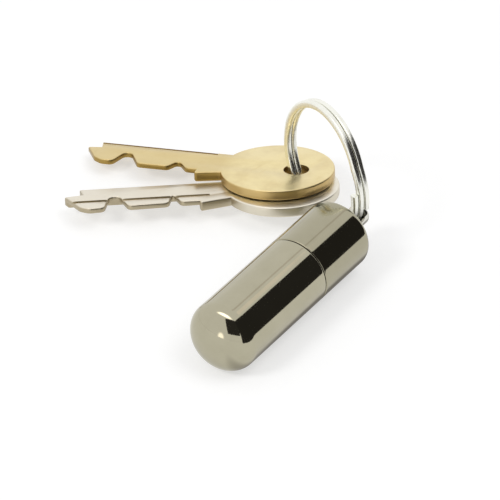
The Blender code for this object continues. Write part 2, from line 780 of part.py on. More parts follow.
def wadding_and_felt(kit):
    """The soft fill of the barrel and the felt pad that closes it."""
    radius = BARREL_INSIDE - WADDING_GAP
    top = PLUG_BOTTOM - SPIGOT_LENGTH - WADDING_GAP
    bottom = FELT_TOP + WADDING_GAP
    wadding = rod(kit, "wadding", radius, bottom, top, kit.cotton, kit.insert, segments=32)
    felt = rod(kit, "felt_pad", radius, FELT_BOTTOM, FELT_TOP, kit.felt, kit.insert, segments=32)
    clear = FLINT_TUBE_RADIUS + WADDING_GAP
    hole = at_flint(rod(
        kit, "wadding_hole", clear, BARREL_BOTTOM, PLUG_BOTTOM, None, kit.insert, helper=True,
    ))
    wick_end = FLANGE_TOP - WICK_DEPTH - WADDING_GAP
    channel = rod(
        kit, "wick_channel", WICK_RADIUS + WADDING_GAP, wick_end, PLUG_BOTTOM, None, kit.insert, helper=True,
    )
    channel.location.x = WICK_OFFSET
    cut(cut(wadding, hole), channel)
    cut(felt, hole)


def wick(kit):
    """A cotton cord from the wadding up past the wheel, its top leaning to the sparks."""
    curve = bpy.data.curves.new("wick", "CURVE")
    curve.dimensions = "3D"
    curve.bevel_depth = WICK_RADIUS
    curve.bevel_resolution = 4
    curve.use_fill_caps = True
    spline = curve.splines.new("POLY")
    heights = (-WICK_DEPTH, -WICK_DEPTH / 2, WICK_STANDS / 3, WICK_STANDS * 2 / 3, WICK_STANDS)
    leans = (0, 0, 0, -0.08 * MM, -0.2 * MM)
    spline.points.add(len(heights) - 1)
    for point, height, lean in zip(spline.points, heights, leans):
        point.co = (WICK_OFFSET + lean, 0, FLANGE_TOP + height, 1)
    return link(kit, "wick", curve, kit.cotton, kit.insert)


def ear_outline(foot):
    """One ear seen along the axle: straight sides under a round top."""
    top = arc(0, 0, EAR_RADIUS, 0, 180)
    return [(EAR_RADIUS, foot)] + top + [(-EAR_RADIUS, foot)]


def circle(radius, segments=SMALL_SEGMENTS):
    """A closed round outline."""
    return [
        (radius * math.cos(2 * math.pi * i / segments), radius * math.sin(2 * math.pi * i / segments))
        for i in range(segments)
    ]


def wheel_bracket(kit):
    """A bent sheet: a foot on the flange and two ears that carry the axle."""
    foot_bottom = FLANGE_TOP + SEAT_GAP - WHEEL_CENTRE
    foot_top = foot_bottom + BRACKET_SHEET
    inside = WHEEL_WIDTH / 2 + WHEEL_SIDE_GAP
    outside = inside + BRACKET_SHEET
    hole = circle(AXLE_RADIUS + SEAL_GAP)
    ears = []
    for side in (-1, 1):
        name = "wheel_bracket" if side < 0 else "far_ear"
        outlines = [ear_outline(foot_bottom), hole]
        ear = flat_outline(kit, name, outlines, BRACKET_SHEET, kit.nickel_plate, kit.wheel)
        ear.location.z = side * (inside + outside) / 2
        ears.append(as_mesh(kit, ear, helper=side > 0))
    across = EAR_RADIUS + FOOT_BEYOND_EARS
    foot = block(
        kit, "bracket_foot", (-across, foot_bottom, -outside), (across, foot_top, outside), kit.wheel,
    )
    bracket = cut(cut(ears[0], ears[1], "UNION"), foot, "UNION")
    opening = rod(
        kit, "bracket_hole", FLINT_TUBE_RADIUS + SEAL_GAP, -BRACKET_SHEET, 2 * BRACKET_SHEET,
        None, kit.insert, helper=True,
    )
    opening.location = (-FLINT_OFFSET, 0, FLANGE_TOP + SEAT_GAP)
    return cut(bracket, opening)


def wheel_outline():
    """Saw teeth round the wheel, each with a steep face and a long back."""
    points = []
    for tooth in range(WHEEL_TEETH):
        start = 2 * math.pi * tooth / WHEEL_TEETH
        for share, radius in ((0.0, WHEEL_RADIUS), (0.12, WHEEL_RADIUS - WHEEL_TOOTH_DEPTH)):
            angle = start + share * 2 * math.pi / WHEEL_TEETH
            points.append((radius * math.cos(angle), radius * math.sin(angle)))
    return points


def spark_wheel(kit):
    """The toothed wheel with its bore."""
    outlines = [wheel_outline(), circle(AXLE_RADIUS + RUNNING_GAP)]
    wheel = flat_outline(kit, "spark_wheel", outlines, WHEEL_WIDTH, kit.steel, kit.wheel)
    return as_mesh(kit, wheel)


def wheel_axle(kit):
    """A pin through both ears, riveted over at both ends."""
    ear_face = WHEEL_WIDTH / 2 + WHEEL_SIDE_GAP + BRACKET_SHEET
    head = ear_face + SEAL_GAP
    end = head + AXLE_HEAD_THICKNESS
    domed = AXLE_HEAD_RADIUS * 0.6
    half = [(0, end), (domed, end), (AXLE_HEAD_RADIUS, head + AXLE_HEAD_THICKNESS / 3)]
    half += [(AXLE_HEAD_RADIUS, head), (AXLE_RADIUS, head)]
    profile = half + [(x, -z) for x, z in reversed(half)]
    return turned(
        kit, "wheel_axle", profile, kit.spring_steel, kit.wheel, closed=False, segments=SMALL_SEGMENTS,
    )


def strand_section(kit):
    """The wire's section: a flat with round corners, its thickness across the ring."""
    half_thick = STRAND_THICKNESS / 2 - STRAND_ROUND
    half_wide = STRAND_WIDTH / 2 - STRAND_ROUND
    outline = []
    for x, y, start in ((1, 1, 0), (-1, 1, 90), (-1, -1, 180), (1, -1, 270)):
        for degrees in (start, start + 45, start + 90):
            across = x * half_thick + STRAND_ROUND * math.cos(math.radians(degrees))
            along = y * half_wide + STRAND_ROUND * math.sin(math.radians(degrees))
            outline.append((across, along))
    curve = bpy.data.curves.new("strand_section", "CURVE")
    curve.dimensions = "2D"
    spline = curve.splines.new("POLY")
    spline.points.add(len(outline) - 1)
    for point, (x, y) in zip(spline.points, outline):
        point.co = (x, y, 0, 1)
    spline.use_cyclic_u = True
    return link(kit, "strand_section", curve, None, None, helper=True)


def split_ring(kit):
    """The flat wire wound as one helix, its two ends lying beside the turn between."""
    steps = round(RING_TURNS * RING_STEPS_PER_TURN)
    curve = bpy.data.curves.new("split_ring", "CURVE")
    curve.dimensions = "3D"
    curve.twist_mode = "Z_UP"
    curve.bevel_mode = "OBJECT"
    curve.bevel_object = strand_section(kit)
    curve.use_fill_caps = True
    spline = curve.splines.new("POLY")
    spline.points.add(steps)
    centre_x = -RING_RADIUS * math.cos(POST_ON_RING)
    centre_y = -RING_RADIUS * math.sin(POST_ON_RING)
    points = []
    for step, point in enumerate(spline.points):
        turned_by = 2 * math.pi * RING_TURNS * step / steps
        angle = RING_START + turned_by
        x = centre_x + RING_RADIUS * math.cos(angle)
        y = centre_y + RING_RADIUS * math.sin(angle)
        points.append(Vector((x, y, strand_drift(turned_by))))
        point.co = (*points[-1], 1)
    print_least_gap("split_ring", points, RING_STEPS_PER_TURN, STRAND_WIDTH)
    ring = link(kit, "split_ring", curve, kit.chrome, kit.ring)
    ring = as_mesh(kit, ring)
    smooth(ring)
    return ring


def on_cut_edge(blade, share):
    """The point of the blade's uncut edge at a share of the way from shoulder to tip."""
    along = blade.shoulder + share * (blade.length - blade.shoulder)
    return along, blade.shoulder_edge + share * (blade.tip_edge - blade.shoulder_edge)


def rounded_corner(before, corner, after, radius):
    """The points of the arc that rounds one corner, which leaves half of each side at least."""
    corner = Vector(corner)
    back = Vector(before) - corner
    ahead = Vector(after) - corner
    half_angle = back.angle(ahead) / 2
    reach = min(radius / math.tan(half_angle), back.length / 2, ahead.length / 2)
    radius = reach * math.tan(half_angle)
    centre = corner + (back.normalized() + ahead.normalized()).normalized() * radius / math.sin(half_angle)
    start = corner + back.normalized() * reach - centre
    sweep = start.angle_signed(corner + ahead.normalized() * reach - centre)
    steps = max(2, math.ceil(abs(sweep) / ARC_STEP))
    return [tuple(centre + Matrix.Rotation(-sweep * i / steps, 2) @ start) for i in range(steps + 1)]


def key_outline(blade):
    """A key's outline from its hole: round bow, stop, cut edge, nose and straight back."""
    near_at_stop = math.degrees(math.asin(STOP_AT_BOW / BOW_RADIUS))
    far_at_bow = math.degrees(math.asin(blade.far_edge / BOW_RADIUS))
    back_end = blade.length - blade.back_step
    point = blade.far_edge + POINT_FROM_BACK
    outline = arc(BOW_FROM_HOLE, 0, BOW_RADIUS, near_at_stop, 360 + far_at_bow)
    outline += [
        (back_end, blade.far_edge),
        (back_end - BACK_NOTCH, point - BACK_NOTCH),
        (blade.length, point),
    ]
    nose_break = (blade.length - NOSE_LENGTH * 0.62, blade.tip_edge - NOSE_DROP)
    nose_end = (blade.length - NOSE_LENGTH, blade.tip_edge)
    shoulder = (blade.shoulder, blade.shoulder_edge)
    edge = [nose_break, nose_end]
    for one in blade.cuts:
        edge += [
            on_cut_edge(blade, one.tip_side),
            (on_cut_edge(blade, one.root_start)[0], one.root),
            (on_cut_edge(blade, one.root_end)[0], one.root),
            on_cut_edge(blade, one.bow_side),
        ]
    before = outline[-1:] + edge
    after = edge[1:] + [shoulder]
    radii = [NOSE_ROUND, NOSE_ROUND] + [CUT_ROUND] * (len(edge) - 2)
    for corner in zip(before, edge, after, radii):
        outline += rounded_corner(*corner)
    return outline + [shoulder, (blade.shoulder, STOP_CORNER)]


def key(kit, name, blade, below, finish):
    """A cylinder key: bow with its hole, stop, milled blade and cuts."""
    blank = flat_outline(kit, name, [key_outline(blade)], KEY_THICKNESS, finish, None, edge=KEY_EDGE_ROUND)
    blank = as_mesh(kit, blank)
    place = key_frame(blade.direction, below)
    blank.matrix_world = place
    half = KEY_THICKNESS / 2
    low, high = -KEY_THICKNESS, KEY_THICKNESS
    hole = rod(kit, name + "_hole", KEY_HOLE_RADIUS, low, high, None, None, 32, helper=True)
    end = blade.length + BOW_FROM_HOLE
    low = (blade.shoulder, blade.milled_from, -KEY_THICKNESS)
    high = (end, STOP_CORNER + KEY_THICKNESS, half - MILLED_WEB)
    milled = block(kit, name + "_milling", low, high, None)
    low = (blade.shoulder - KEY_THICKNESS, blade.groove_at - GROOVE_WIDTH / 2, half - GROOVE_DEPTH)
    high = (end, blade.groove_at + GROOVE_WIDTH / 2, KEY_THICKNESS)
    groove = block(kit, name + "_groove", low, high, None)
    for cutter in (hole, milled, groove):
        cutter.matrix_world = place
        cut(blank, cutter)
    return blank


def keys(kit):
    """The brass key on top and the nickel-silver one under it."""
    key(kit, "brass_key", BRASS_BLADE, 0.0, kit.brass)
    key(kit, "nickel_key", NICKEL_BLADE, KEY_THICKNESS + KEY_STACK_GAP, kit.nickel_silver)


def clear_scene():
    """Start from an empty scene."""
    for obj in list(bpy.data.objects):
        bpy.data.objects.remove(obj, do_unlink=True)


def main():
    """Build every piece of the keychain."""
    clear_scene()
    kit = Kit()
    tank_shell(kit)
    cap_shell(kit)
    ring_post(kit)
    seals(kit)
    insert_collar(kit)
    insert_barrel(kit)
    flint_tube(kit)
    flint(kit)
    flint_plunger(kit)
    flint_spring(kit)
    spring_screw(kit)
    wadding_and_felt(kit)
    wick(kit)
    wheel_bracket(kit)
    spark_wheel(kit)
    wheel_axle(kit)
    split_ring(kit)
    keys(kit)
    bpy.context.view_layer.update()


main()
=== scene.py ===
"""Looks of a fire starter keychain: a capsule petrol lighter, a split ring and two keys.

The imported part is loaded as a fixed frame. Every piece below is modelled in its place
over its own node, rides on that node's body and takes a procedural finish. Sizes are in
millimetres, and Axis.at turns them into places in metres. Angles are in radians, unless
a docstring says degrees.
"""

import logging
import math
from contextlib import contextmanager
from dataclasses import dataclass, field
from enum import Enum
from typing import Any, Callable, Iterator, Sequence

import bmesh
import bpy
from bpy.types import Material, Node, NodeSocket, NodeTree, Object
from mathutils import Matrix, Vector


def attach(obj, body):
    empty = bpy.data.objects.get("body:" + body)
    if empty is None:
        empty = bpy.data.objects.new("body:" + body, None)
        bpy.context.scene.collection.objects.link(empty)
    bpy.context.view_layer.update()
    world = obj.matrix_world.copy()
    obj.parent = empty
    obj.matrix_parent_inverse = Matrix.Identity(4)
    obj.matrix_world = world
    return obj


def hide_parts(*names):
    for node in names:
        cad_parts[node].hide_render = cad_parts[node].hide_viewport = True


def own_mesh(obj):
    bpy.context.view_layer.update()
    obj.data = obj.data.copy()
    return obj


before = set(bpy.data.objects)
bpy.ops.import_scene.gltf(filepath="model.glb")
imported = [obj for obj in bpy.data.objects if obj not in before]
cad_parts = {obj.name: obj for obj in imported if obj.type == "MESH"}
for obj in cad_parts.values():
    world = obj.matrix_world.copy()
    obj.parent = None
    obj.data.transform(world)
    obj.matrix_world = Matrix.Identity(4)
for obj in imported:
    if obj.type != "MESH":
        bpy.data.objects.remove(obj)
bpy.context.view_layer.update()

MM = 0.001
FULL_TURN = 2 * math.pi
# A length or an angle under this counts as nothing
TINY = 1e-6
X_AXIS = Vector((1, 0, 0))
Y_AXIS = Vector((0, 1, 0))
Z_AXIS = Vector((0, 0, 1))
log = logging.getLogger("keychain")

# Points or corners, each across, along and, where a corner is rounded, its rounding radius
Profile = Sequence[tuple[float, ...]]


# Small tools for values

def linear_rgb(code: str) -> tuple[float, float, float, float]:
    """Turn an sRGB hex colour into linear light.

    Args:
        code: Six hex digits.

    Returns:
        Red, green, blue and an alpha of one.
    """
    channels = [int(code[i:i + 2], 16) / 255 for i in (0, 2, 4)]
    light = [c / 12.92 if c <= 0.04045 else ((c + 0.055) / 1.055) ** 2.4 for c in channels]
    return light[0], light[1], light[2], 1.0


def per_size(size: float) -> float:
    """The texture scale at which one feature of a pattern is that many millimetres."""
    return 1 / (size * MM)


def arc(centre: tuple[float, float], radius: float, start: float, end: float, steps: int) -> Profile:
    """Points along an arc, both ends included.

    Args:
        centre: Its middle, across and along.
        radius: Its radius.
        start: The first angle in degrees, from the across direction.
        end: The last angle in degrees.
        steps: How many pieces it is cut into.

    Returns:
        The points.
    """
    angles = [math.radians(start + (end - start) * i / steps) for i in range(steps + 1)]
    return [(centre[0] + radius * math.cos(a), centre[1] + radius * math.sin(a)) for a in angles]


def rounded(corners: Profile, closed: bool, steps: int = 4) -> Profile:
    """Round the corners of an outline, each by no more than half of its shorter side.

    Args:
        corners: The corners.
        closed: Whether the last corner joins the first.
        steps: How many pieces each rounding is cut into.

    Returns:
        The points of the rounded outline.
    """
    made = []
    count = len(corners)
    for i, (x, y, *rounding) in enumerate(corners):
        if not any(rounding) or not closed and i in (0, count - 1):
            made.append((x, y))
            continue
        corner = Vector((x, y))
        before = Vector(corners[i - 1][:2]) - corner
        after = Vector(corners[(i + 1) % count][:2]) - corner
        half = before.angle(after) / 2
        reach = min(rounding[0] / math.tan(half), before.length / 2, after.length / 2)
        before.normalize()
        after.normalize()
        middle = corner + (before + after).normalized() * reach / math.cos(half)
        first = corner + before * reach - middle
        last = corner + after * reach - middle
        turns = [first.slerp(last, step / steps) for step in range(steps + 1)]
        made += [tuple(middle + turn.normalized() * first.length) for turn in turns]
    return made


def direction(turn: float, rise: float) -> Vector:
    """The direction that is turned from Y toward X and then rises."""
    return Vector((math.sin(turn) * math.cos(rise), math.cos(turn) * math.cos(rise), math.sin(rise)))


def placed(origin: Vector, x: Vector, y: Vector, z: Vector) -> Matrix:
    """The placement at an origin that turns and sizes X, Y and Z to these three."""
    return Matrix.Translation(origin) @ Matrix((x, y, z)).transposed().to_4x4()


@dataclass(frozen=True)
class Axis:
    """A line that pieces are turned about or set out along, from an origin in metres."""

    origin: Vector
    along: Vector
    across: Vector

    @property
    def aside(self) -> Vector:
        """The direction square to both others."""
        return self.along.cross(self.across)

    def at(self, across: float, along: float, aside: float = 0.0) -> Vector:
        """The place in metres that is so far across, along and aside."""
        return self.origin + (across * self.across + along * self.along + aside * self.aside) * MM

    def around(self, radius: float, angle: float, along: float = 0.0) -> Vector:
        """The place in metres at a radius and an angle round the axis."""
        return self.at(radius * math.cos(angle), along, radius * math.sin(angle))

    def moved(self, across: float, along: float = 0.0) -> "Axis":
        """The same axis from another origin."""
        return Axis(self.at(across, along), self.along, self.across)

    def frame(self) -> Matrix:
        """A placement with X across, Y along and Z to the remaining side."""
        return placed(self.origin, self.across, self.along, -self.aside)


# Places that all the sub-assemblies share, as the CAD has them
CAPSULE = Axis(Vector((28.31, -35.13, 7.5)) * MM, Y_AXIS, X_AXIS)
FLINT_LINE = CAPSULE.moved(-1.8)
WHEEL_AT = 40.6
WHEEL = Axis(FLINT_LINE.at(0, WHEEL_AT), Z_AXIS, X_AXIS)


# Small tools for meshes, each one or a few of Blender's operators

def only(piece: Object) -> None:
    """Select one piece and nothing else."""
    bpy.ops.object.select_all(action="DESELECT")
    piece.select_set(True)
    bpy.context.view_layer.objects.active = piece


@contextmanager
def editing(piece: Object, mode: str = "VERT") -> Iterator[None]:
    """Edit mode on one piece, with all of it selected, left again at the end.

    Args:
        piece: The piece to shape.
        mode: What is selected, VERT, EDGE or FACE.
    """
    only(piece)
    bpy.ops.object.mode_set(mode="EDIT")
    bpy.ops.mesh.select_mode(type=mode)
    bpy.ops.mesh.select_all(action="SELECT")
    yield
    bpy.ops.object.mode_set(mode="OBJECT")


def pick(piece: Object, kind: str, test: Callable[[Vector], bool]) -> None:
    """Select the verts or edges whose middle passes a test, in edit mode.

    Args:
        piece: The piece that is in edit mode.
        kind: verts or edges.
        test: Says of a middle point whether it is wanted.
    """
    bpy.ops.mesh.select_all(action="DESELECT")
    work = bmesh.from_edit_mesh(piece.data)
    for one in getattr(work, kind):
        if test(one.co if kind == "verts" else (one.verts[0].co + one.verts[1].co) / 2):
            one.select_set(True)
    work.select_flush_mode()
    bmesh.update_edit_mesh(piece.data)


def clean(merge: float = 0.0005) -> None:
    """Merge points nearer than this and turn every face outward, in edit mode."""
    bpy.ops.mesh.select_all(action="SELECT")
    bpy.ops.mesh.remove_doubles(threshold=merge * MM)
    bpy.ops.mesh.normals_make_consistent(inside=False)


def extrude(move: Sequence[float]) -> None:
    """Extrude the selected face by a move in metres, in edit mode."""
    bpy.ops.mesh.extrude_region_move(TRANSFORM_OT_translate={"value": move})


def settle(piece: Object, placement: Matrix) -> Object:
    """Put a placement into a piece's mesh, so that its object sits at the origin."""
    piece.matrix_world = placement
    only(piece)
    bpy.ops.object.transform_apply(location=True, rotation=True, scale=True)
    return piece


def square(name: str, placement: Matrix) -> Object:
    """A named plane, a metre square before its placement."""
    bpy.ops.object.select_all(action="DESELECT")
    bpy.ops.mesh.primitive_plane_add(size=1.0)
    piece = bpy.context.object
    piece.name = piece.data.name = name
    return settle(piece, placement)


def chain(name: str, points: Sequence[Vector], closed: bool) -> Object:
    """Draw a line of points: a plane merged to one corner and extruded point by point.

    Args:
        name: The piece's name.
        points: The line's points in metres.
        closed: Whether it comes back to its first point.

    Returns:
        The line as a mesh of vertices and edges.
    """
    piece = square(name, Matrix.Translation(points[0]) @ Matrix.Scale(MM, 4))
    with editing(piece):
        bpy.ops.mesh.merge(type="CENTER")
        for start, end in zip(points, [*points[1:], *points[:1 if closed else 0]]):
            bpy.ops.mesh.extrude_vertices_move(TRANSFORM_OT_translate={"value": end - start})
        clean()
    return piece


def turned(name: str, axis: Axis, corners: Profile, closed: bool = False, segments: int = 96) -> Object:
    """Turn a profile about an axis, as on a lathe.

    Args:
        name: The piece's name.
        axis: What it is turned about.
        corners: The profile's corners.
        closed: Whether the profile is a closed loop, or runs from axis to axis.
        segments: How many facets the turn has.

    Returns:
        The closed piece.
    """
    piece = chain(name, [axis.at(x, y) for x, y in rounded(corners, closed)], closed)
    with editing(piece):
        bpy.ops.mesh.spin(steps=segments, angle=FULL_TURN, center=axis.origin, axis=axis.along)
        clean()
    return piece


def modify(piece: Object, kind: str, **settings: Any) -> None:
    """Give a piece a modifier with these settings and apply it."""
    change = piece.modifiers.new(kind, kind)
    for name, value in settings.items():
        setattr(change, name, value)
    only(piece)
    bpy.ops.object.modifier_apply(modifier=change.name)


def coil(name: str, axis: Axis, section: Profile, pitch: float, turns: int, steps: int) -> Object:
    """Wind a closed section up an axis, for a thread or a spring.

    Args:
        name: The piece's name.
        axis: What it winds about.
        section: The section at its start.
        pitch: How far it rises in one turn.
        turns: How many turns.
        steps: How many facets each turn has.

    Returns:
        The closed winding.
    """
    upright = Axis(Vector(), Z_AXIS, X_AXIS)
    piece = chain(name, [upright.at(x, y) for x, y in section], closed=True)
    modify(piece, "SCREW", axis="Z", steps=steps, render_steps=steps, iterations=turns,
           screw_offset=pitch * MM)
    with editing(piece):
        bpy.ops.mesh.fill_holes(sides=0)
        clean()
    return settle(piece, placed(axis.origin, axis.across, axis.aside, axis.along))


def plate(name: str, axis: Axis, outline: Profile, thickness: float, rim: float) -> Object:
    """Cut a flat piece from an outline, give it its thickness and round its two rims.

    Args:
        name: The piece's name.
        axis: Its middle plane's frame: the outline is across and aside, and along is up.
        outline: The closed outline's points.
        thickness: How thick it is, half to each side of the plane.
        rim: How far the rounding reaches in, wider than a modifier would go at fine corners.

    Returns:
        The closed piece.
    """
    def on_rim(middle: Vector) -> bool:
        height = abs((middle - axis.origin).dot(axis.along))
        return abs(height - thickness / 2 * MM) < 0.01 * MM

    piece = chain(name, [axis.at(x, -thickness / 2, y) for x, y in outline], closed=True)
    with editing(piece):
        bpy.ops.mesh.edge_face_add()
        extrude(axis.along * thickness * MM)
        clean()
    with editing(piece, "EDGE"):
        pick(piece, "edges", on_rim)
        bpy.ops.mesh.bevel(offset=rim * MM, segments=4, profile=0.5, affect="EDGES", clamp_overlap=False)
        clean(0.001)
    return piece


def cut_away(piece: Object, cutter: Object) -> None:
    """Cut a piece with another, which is used up."""
    modify(piece, "BOOLEAN", operation="DIFFERENCE", solver="EXACT", object=cutter)
    bpy.data.objects.remove(cutter, do_unlink=True)


def drill(axis: Axis, radius: float, start: float, end: float, segments: int = 64) -> Object:
    """A plain round cutter along an axis."""
    return turned("drill", axis, [(0, start), (radius, start), (radius, end), (0, end)], segments=segments)


def soften(piece: Object, width: float, angle: float = 50, segments: int = 2) -> None:
    """Round the edges of a piece that are sharper than an angle.

    Args:
        piece: The piece.
        width: How far the rounding reaches from the edge.
        angle: The least angle, in degrees, that counts as an edge.
        segments: How many facets the rounding has.
    """
    modify(piece, "BEVEL", width=width * MM, segments=segments, limit_method="ANGLE",
           angle_limit=math.radians(angle))


def cutter_box(axis: Axis, low: tuple[float, ...], high: tuple[float, ...], edge: float = 0.0) -> Object:
    """A box cutter between two corners, given across, along and aside an axis.

    Args:
        axis: The frame it is set out in.
        low: Its lowest corner.
        high: Its highest corner.
        edge: The rounding of its edges.

    Returns:
        The cutter.
    """
    bpy.ops.object.select_all(action="DESELECT")
    bpy.ops.mesh.primitive_cube_add(size=MM)
    middle = (Vector(low) + Vector(high)) / 2
    x, y, z = Vector(high) - Vector(low)
    place = placed(axis.at(*middle), x * axis.across, y * axis.along, z * axis.aside)
    box = settle(bpy.context.object, place)
    if edge:
        soften(box, edge, 30, 3)
    with editing(box):
        clean()
    return box


def joined(piece: Object, other: Object) -> Object:
    """Join two pieces that are one part of the object into one mesh."""
    only(piece)
    other.select_set(True)
    bpy.ops.object.join()
    return piece


# Materials

def feed(tree: NodeTree, node: Node, *values: Any, **named: Any) -> Node:
    """Give a node its settings and what its inputs take.

    An input takes a number, a vector, a hex colour, a socket, or a node, of which the
    first output is used.

    Args:
        tree: The node tree.
        node: The node.
        values: What its inputs take, in their order.
        named: Lower-case names are the node's own settings, the rest its inputs, with an
            underscore for a space.

    Returns:
        The node.
    """
    for name in [one for one in named if one[0].islower()]:
        setattr(node, name, named.pop(name))
    wanted = list(zip([one for one in node.inputs if one.enabled], values))
    wanted += [(node.inputs[name.replace("_", " ")], value) for name, value in named.items()]
    for socket, value in wanted:
        if isinstance(value, Node):
            value = next(one for one in value.outputs if one.enabled)
        if isinstance(value, NodeSocket):
            tree.links.new(value, socket)
        else:
            socket.default_value = linear_rgb(value) if isinstance(value, str) else value
    return node


def add(tree: NodeTree, kind: str, *values: Any, **named: Any) -> Node:
    """Add a shader node of a kind and feed it."""
    return feed(tree, tree.nodes.new("ShaderNode" + kind), *values, **named)


def surface(name: str) -> tuple[Material, NodeTree]:
    """A new material and its node tree."""
    made = bpy.data.materials.new(name)
    made.use_nodes = True
    return made, made.node_tree


def sight(tree: NodeTree) -> tuple[Node, Node]:
    """The kind of each ray, camera first, and a one for those of the camera and of gloss."""
    path = add(tree, "LightPath")
    return path, add(tree, "Math", path, path.outputs["Is Glossy Ray"], operation="MAXIMUM")


class Lay(Enum):
    """The way the marks of working run, as how much they are squeezed along X, Y and Z."""

    ROUND_THE_PIECE = (0.02, 1.0, 0.02)
    STRAIGHT = (0.03, 1.0, 1.0)
    NO_LAY = (1.0, 1.0, 1.0)


@dataclass(frozen=True)
class Metal:
    """A metal surface: its colour, its gloss and the marks its making left.

    The fine marks are drawn about twice as coarse as real ones, which are too fine for
    the picture. A key's walls have one colour near its hole and another from cut_from on,
    where its cuts are, and what lies less than milled from its middle plane is milled and
    takes part of the walls' colours. The wall colour is partly the sheared edge's own tone
    and partly painted shade; the cut colour is painted shade in the cuts.
    """

    name: str
    colour: str
    stain: str
    gloss: float
    mark: float
    mark_depth: float
    lay: Lay = Lay.NO_LAY
    axis: Axis = Axis(Vector(), Y_AXIS, X_AXIS)
    stained: float = 0.3
    scratches: float = 0.25
    stain_size: float = 5.0
    # The wall tone is partly the sheared edge's own finish and partly painted shade; the cut tone is
    # painted shade in the cuts
    wall: str = ""
    cut: str = ""
    cut_from: float = 12.0
    cut_fade: float = 4.0
    milled: float = 0.9
    milled_fade: float = 0.1
    worn: float = 0.6

    def build(self) -> Material:
        """Make the material, ready to be put on a piece."""
        made, tree = surface(self.name)
        place = add(tree, "TexCoord").outputs["Object"]
        centred = add(tree, "Mapping", place, self.axis.origin, self.axis.frame().to_euler(),
                      vector_type="TEXTURE")
        stretched = add(tree, "Mapping", centred, Scale=self.lay.value)
        marks = add(tree, "TexNoise", stretched, per_size(self.mark), 3, 0.55)
        worked = add(tree, "Math", marks, self.hairs(tree, place), operation="ADD")
        cloud = add(tree, "TexNoise", place, per_size(self.stain_size), 4, 0.6)
        spread = add(tree, "MapRange", cloud, 0.4, 0.7, 0, self.stained)
        colour = add(tree, "Mix", spread, self.colour, self.stain, data_type="RGBA")
        if self.wall:
            colour = self.tooled(tree, colour, centred)
        dull = add(tree, "MapRange", worked, 0, 1.6, self.gloss * 0.75, self.gloss * 1.5)
        bump = add(tree, "Bump", 1, self.mark_depth * MM, Height=worked)
        feed(tree, tree.nodes["Principled BSDF"], colour, 1, dull, Normal=bump)
        return made

    def tooled(self, tree: NodeTree, colour: Node, place: Node) -> Node:
        """Tone the walls and milled floors, partly as the tools left them and partly with painted shade,
        and the blade's rubbed face.

        Args:
            tree: The material's node tree.
            colour: The colour of the ground faces.
            place: Coordinates from the axis, across as X and along as Y.

        Returns:
            The colour of all.
        """
        normal = add(tree, "TexCoord").outputs["Normal"]
        facing = add(tree, "VectorMath", normal, self.axis.along, operation="DOT_PRODUCT")
        wall = add(tree, "MapRange", add(tree, "Math", facing, operation="ABSOLUTE"), 0.9, 0.35)
        apart = add(tree, "SeparateXYZ", place)
        height = add(tree, "Math", apart.outputs["Y"], operation="ABSOLUTE")
        deep = (self.milled - self.milled_fade) * MM
        floor = add(tree, "MapRange", height, self.milled * MM, deep, 0, 0.6)
        worked = add(tree, "Math", wall, floor, operation="MAXIMUM")
        # Painted shade: from cut_from on, the walls and milled floors take the darker cut tone, standing
        # for the shade in the cuts
        beyond = add(tree, "MapRange", apart, self.cut_from * MM, (self.cut_from + self.cut_fade) * MM)
        walls_and_shade = add(tree, "Mix", beyond, self.wall, self.cut, data_type="RGBA")
        worn = add(tree, "Math", beyond, self.worn, operation="MULTIPLY")
        rubbed = add(tree, "Mix", worn, colour, self.stain, data_type="RGBA")
        return add(tree, "Mix", worked, rubbed, walls_and_shade, data_type="RGBA")

    def hairs(self, tree: NodeTree, place: NodeSocket) -> Node:
        """Sparse hair scratches of use, in two directions.

        Args:
            tree: The material's node tree.
            place: Object coordinates.

        Returns:
            A value from 0, unscratched, to about the amount of scratches.
        """
        both = []
        for turn, size in ((0.6, 1.1), (-0.9, 1.7)):
            slanted = add(tree, "Mapping", place, Rotation=(0.3, turn, turn), Scale=(1, 0.05, 1))
            noise = add(tree, "TexNoise", slanted, per_size(size), 1, Distortion=0.4)
            both.append(add(tree, "MapRange", noise, 0.68, 0.72, 0, self.scratches))
        return add(tree, "Math", *both, operation="ADD")


@dataclass(frozen=True)
class Rubber:
    """Moulded nitrile rubber: nearly black, dull, with a faint bloom."""

    name: str
    colour: str = "1A1918"
    bloom: str = "2B2A28"
    bloom_size: float = 0.5
    grain_depth: float = 0.02

    def build(self) -> Material:
        """Make the material, ready to be put on a piece."""
        made, tree = surface(self.name)
        dust = add(tree, "TexNoise", add(tree, "TexCoord").outputs["Object"], per_size(self.bloom_size), 5)
        tint = add(tree, "Mix", dust, self.colour, self.bloom, data_type="RGBA")
        dull = add(tree, "MapRange", dust, To_Min=0.45, To_Max=0.7)
        bump = add(tree, "Bump", 0.4, self.grain_depth * MM, Height=dust)
        feed(tree, tree.nodes["Principled BSDF"], tint, 0, dull, 1.52, Normal=bump)
        return made


@dataclass(frozen=True)
class Fibre:
    """Cotton or felt: a pale matted surface with crossing fibres and a soft sheen."""

    name: str
    colour: str
    shade: str
    fibre: float
    depth: float

    def build(self) -> Material:
        """Make the material, ready to be put on a piece."""
        made, tree = surface(self.name)
        place = add(tree, "TexCoord").outputs["Object"]
        layers = []
        for turn in (0.4, 1.5, 2.6):
            combed = add(tree, "Mapping", place, Rotation=(turn, turn * 0.7, turn), Scale=(1, 0.12, 1))
            layers.append(add(tree, "TexNoise", combed, per_size(self.fibre), 3, Distortion=0.8))
        over = add(tree, "Math", *layers[:2], operation="MAXIMUM")
        top = add(tree, "Math", over, layers[2], operation="MAXIMUM")
        reach = add(tree, "MapRange", top, 0.45, 0.72)
        tint = add(tree, "Mix", reach, self.shade, self.colour, data_type="RGBA")
        bump = add(tree, "Bump", 0.9, self.depth * MM, Height=reach)
        feed(tree, tree.nodes["Principled BSDF"], tint, 0, 0.95, Sheen_Weight=0.35, Sheen_Roughness=0.5,
             Normal=bump)
        return made


